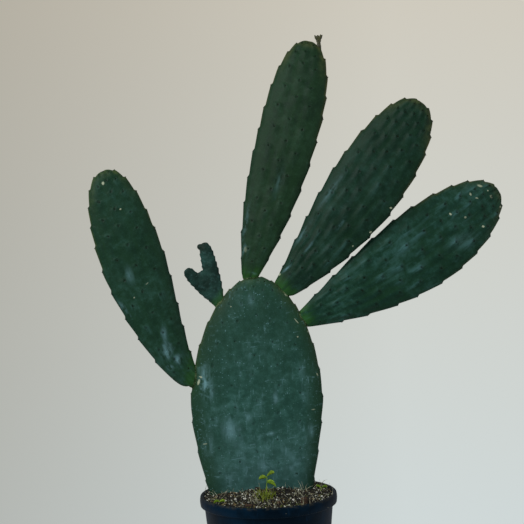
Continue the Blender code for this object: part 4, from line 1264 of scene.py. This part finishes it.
def tipBud(on, finish):
    # a narrow foot that flares to a ragged crown of small scales
    foot = padEdge(on, budRule["sitsAt"], 1)
    lean = math.radians(on["lean"] + budRule["lean"])
    up, side = Vector((math.sin(lean), 0.0, math.cos(lean))), Vector((math.cos(lean), 0.0, -math.sin(lean)))
    front = Vector((0.0, -1.0, 0.0))
    tall, crown, narrow = budRule["height"], budRule["crownRadius"], budRule["footRadius"]
    stalk = ((-0.22, 1.0), (-0.05, 1.0), (0.10, 1.05), (0.25, 0.9), (0.40, 0.78), (0.52, 1.1))
    flare = ((0.62, 0.62), (0.72, 0.86), (0.82, 0.95), (0.90, 1.0), (0.97, 0.92), (0.93, 0.72), (0.84, 0.5),
             (0.80, 0.2))
    profile = [(at, narrow * part) for at, part in stalk] + [(at, crown * part) for at, part in flare]
    points = []
    for share, radius in profile:
        for turn in roundTurns(budRule["sides"]):
            c, s = math.cos(turn), math.sin(turn)
            scale = math.cos(turn * budRule["scales"])
            ragged = noise.noise(Vector((c * 2.0, s * 2.0, share * 6.0)))
            swell = 1.0 + (0.10 * scale + 0.22 * ragged) * min(max(share - 0.1, 0.0) * 1.6, 1.0)
            rise = (0.06 * scale + 0.07 * ragged) * max(share - 0.55, 0.0) / 0.4
            points.append(foot + up * (share + rise) * tall + (side * c + front * s * 0.75) * radius * swell)
    points += [foot + up * -0.24 * tall, foot + up * 0.80 * tall]
    return plainPiece("tipBud", points, tubeRings(len(profile), budRule["sides"]), finish)


# the whole plant
mouth = innerRadius(pot["height"])
soilLine = soilHeight(0.0, 0.0)
footPlace = Vector((mainPad["footShare"] * mouth, 0.0, soilLine - mainPad["plantedDepth"]))
trunk = {**mainPad, "base": footPlace, "neck": mainPad["neckShare"] * mouth}
padTree, nearTree = padShapeTree(), jointTree()
longPads = [topPad, upperRightPad, lowerRightPad, leftPad]
grown = {"mainPad": trunk, **{pad["name"]: seated(pad, trunk) for pad in longPads}}
skins = {name: padSkin(name + "Skin", skinLooks[name], padMarks[name]) for name in grown}
padPieces = {name: growPad(padTree, pad, skins[name]) for name, pad in grown.items()}
branches = [padPieces[pad["name"]] for pad in longPads]
print("pads grown:", ", ".join(padPieces))

for branch in branches:
    markJoints(nearTree, branch, [padPieces["mainPad"]])
markJoints(nearTree, padPieces["mainPad"], branches)
felt, tufts = flecked("areoleFelt", tuftRule)[0], tuftTree()
for name, piece in padPieces.items():
    places = areolePlaces(piece, grown[name], soilLine + tuftRule["aboveSoil"])
    growTufts(tufts, name + "Areoles", places, {**tuftInputs, "cushion": skinLooks[name]["cushion"], "felt": felt})
    print(name, "areoles:", len(places), "faces:", len(piece.data.polygons))

forked = forkedPad(padTree, trunk, forkSkin())
markJoints(nearTree, forked, [padPieces["mainPad"]])
bud = tipBud(grown["topPad"], flecked("driedBudSkin", budRule)[0])
print("forked pad and bud grown")

potPiece = nurseryPot(potFinish())
mixPiece = pottingMix(mixFinish())
growGround(mixPiece)
leafGreen = seedlingFinish()
sprouts = {name: seedling(name, size, leafGreen) for name, size in seedlings.items()}
lumpFinishes = {name: flecked(name, kind)[0] for name, kind in lumpKinds.items()}
chipPieces = {
    name: looseChip(name, chip["node"], lumpKinds[chip["kind"]], lumpFinishes[chip["kind"]])
    for name, chip in chips.items()
}
print("pot filled:", len(sprouts), "seedlings,", len(chipPieces), "loose pieces")


# stage
studio = {
    "cameraPlace": (0.002, -1.256, 0.441), "cameraRoll": 2.0, "lens": 71.66, "sensor": 36.0, "floorRadius": 0.46,
    "wallTop": "cfcabd", "wallLow": "cfd8d8", "wallShade": "898375", "floor": ("efeeea", "f6f5f1"),
    "worldLight": 0.30, "worldColour": (0.80, 0.86, 0.92, 1.0), "aim": (0.0, 0.0, 0.38),
}
lamps = {  # place, size, energy, colour
    "windowLight": ((-1.05, -1.15, 1.4), 1.1, 25.0, (0.95, 0.98, 1.0)),
    "roomLight": ((1.4, -0.8, 0.9), 1.4, 4.5, (1.0, 0.97, 0.92)),
}


def addCamera(scene):
    camera = bpy.data.objects.new("camera", bpy.data.cameras.new("camera"))
    camera.data.lens, camera.data.sensor_width = studio["lens"], studio["sensor"]
    camera.location = studio["cameraPlace"]
    camera.rotation_euler = (math.radians(90.0), math.radians(studio["cameraRoll"]), 0.0)
    scene.collection.objects.link(camera)
    scene.camera = camera


def addFloor():
    shape = bmesh.new()
    bmesh.ops.create_circle(shape, cap_ends=True, radius=studio["floorRadius"], segments=128)
    finish, shader, place = newFinish("floorPaint")
    grain = cloud(place, 300.0)
    wear(shader, mix(grain, *studio["floor"]), grain * 0.1 + 0.7, grain, 0.0001)
    floor = bare("floor", meshFrom("floor", shape))
    floor.data.materials.append(finish)
    floor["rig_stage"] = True


def addWorld(scene):
    # soft light all round, and a wall that only the camera sees
    world = bpy.data.worlds.new("softRoom")
    scene.world = world
    world.use_nodes = True
    tree = world.node_tree
    ground = tree.nodes["Background"]
    feed(ground.inputs["Strength"], studio["worldLight"])
    feed(ground.inputs["Color"], studio["worldColour"])
    toward = split(wire(tree, "ShaderNodeTexCoord", output="Generated"))
    rise, shade = (toward[2] * 2.0 + 0.5).clamp(), (0.25 - toward[0] * 2.0).clamp()
    wall = mix(shade * 0.6, mix(rise, studio["wallLow"], studio["wallTop"]), studio["wallShade"])
    seen = wire(tree, "ShaderNodeBackground", {"Color": wall})
    rays = wire(tree, "ShaderNodeLightPath", output="Is Camera Ray")
    both = wire(tree, "ShaderNodeMixShader", {0: rays, 1: Wire(ground.outputs[0]), 2: seen})
    feed(tree.nodes["World Output"].inputs["Surface"], both)


def addLamp(scene, name, place, size, energy, colour):
    data = bpy.data.lights.new(name, "AREA")
    data.size, data.energy, data.color = size, energy, colour
    made = bpy.data.objects.new(name, data)
    made.location = place
    made.rotation_euler = (Vector(studio["aim"]) - Vector(place)).to_track_quat("-Z", "Y").to_euler()
    scene.collection.objects.link(made)


scene = bpy.context.scene
scene.view_settings.view_transform = "Standard"
addCamera(scene)
addFloor()
addWorld(scene)
for name, lamp in lamps.items():
    addLamp(scene, name, *lamp)
print("stage set")


# attach the new pieces to the root body and hide the CAD parts they replace
for piece in list(bpy.data.objects):
    if piece.type == "MESH" and "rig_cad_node" not in piece and "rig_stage" not in piece:
        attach(piece, "root")
for pad in (mainPad, *longPads):
    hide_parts(pad["node"])
for piece, node in ((forked, "forked_pad"), (bud, "tip_bud"), (potPiece, "nursery_pot"), (mixPiece, "potting_mix")):
    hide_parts(node)
for pieces, rules in ((sprouts, seedlings), (chipPieces, chips)):
    for name, rule in rules.items():
        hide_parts(rule["node"])
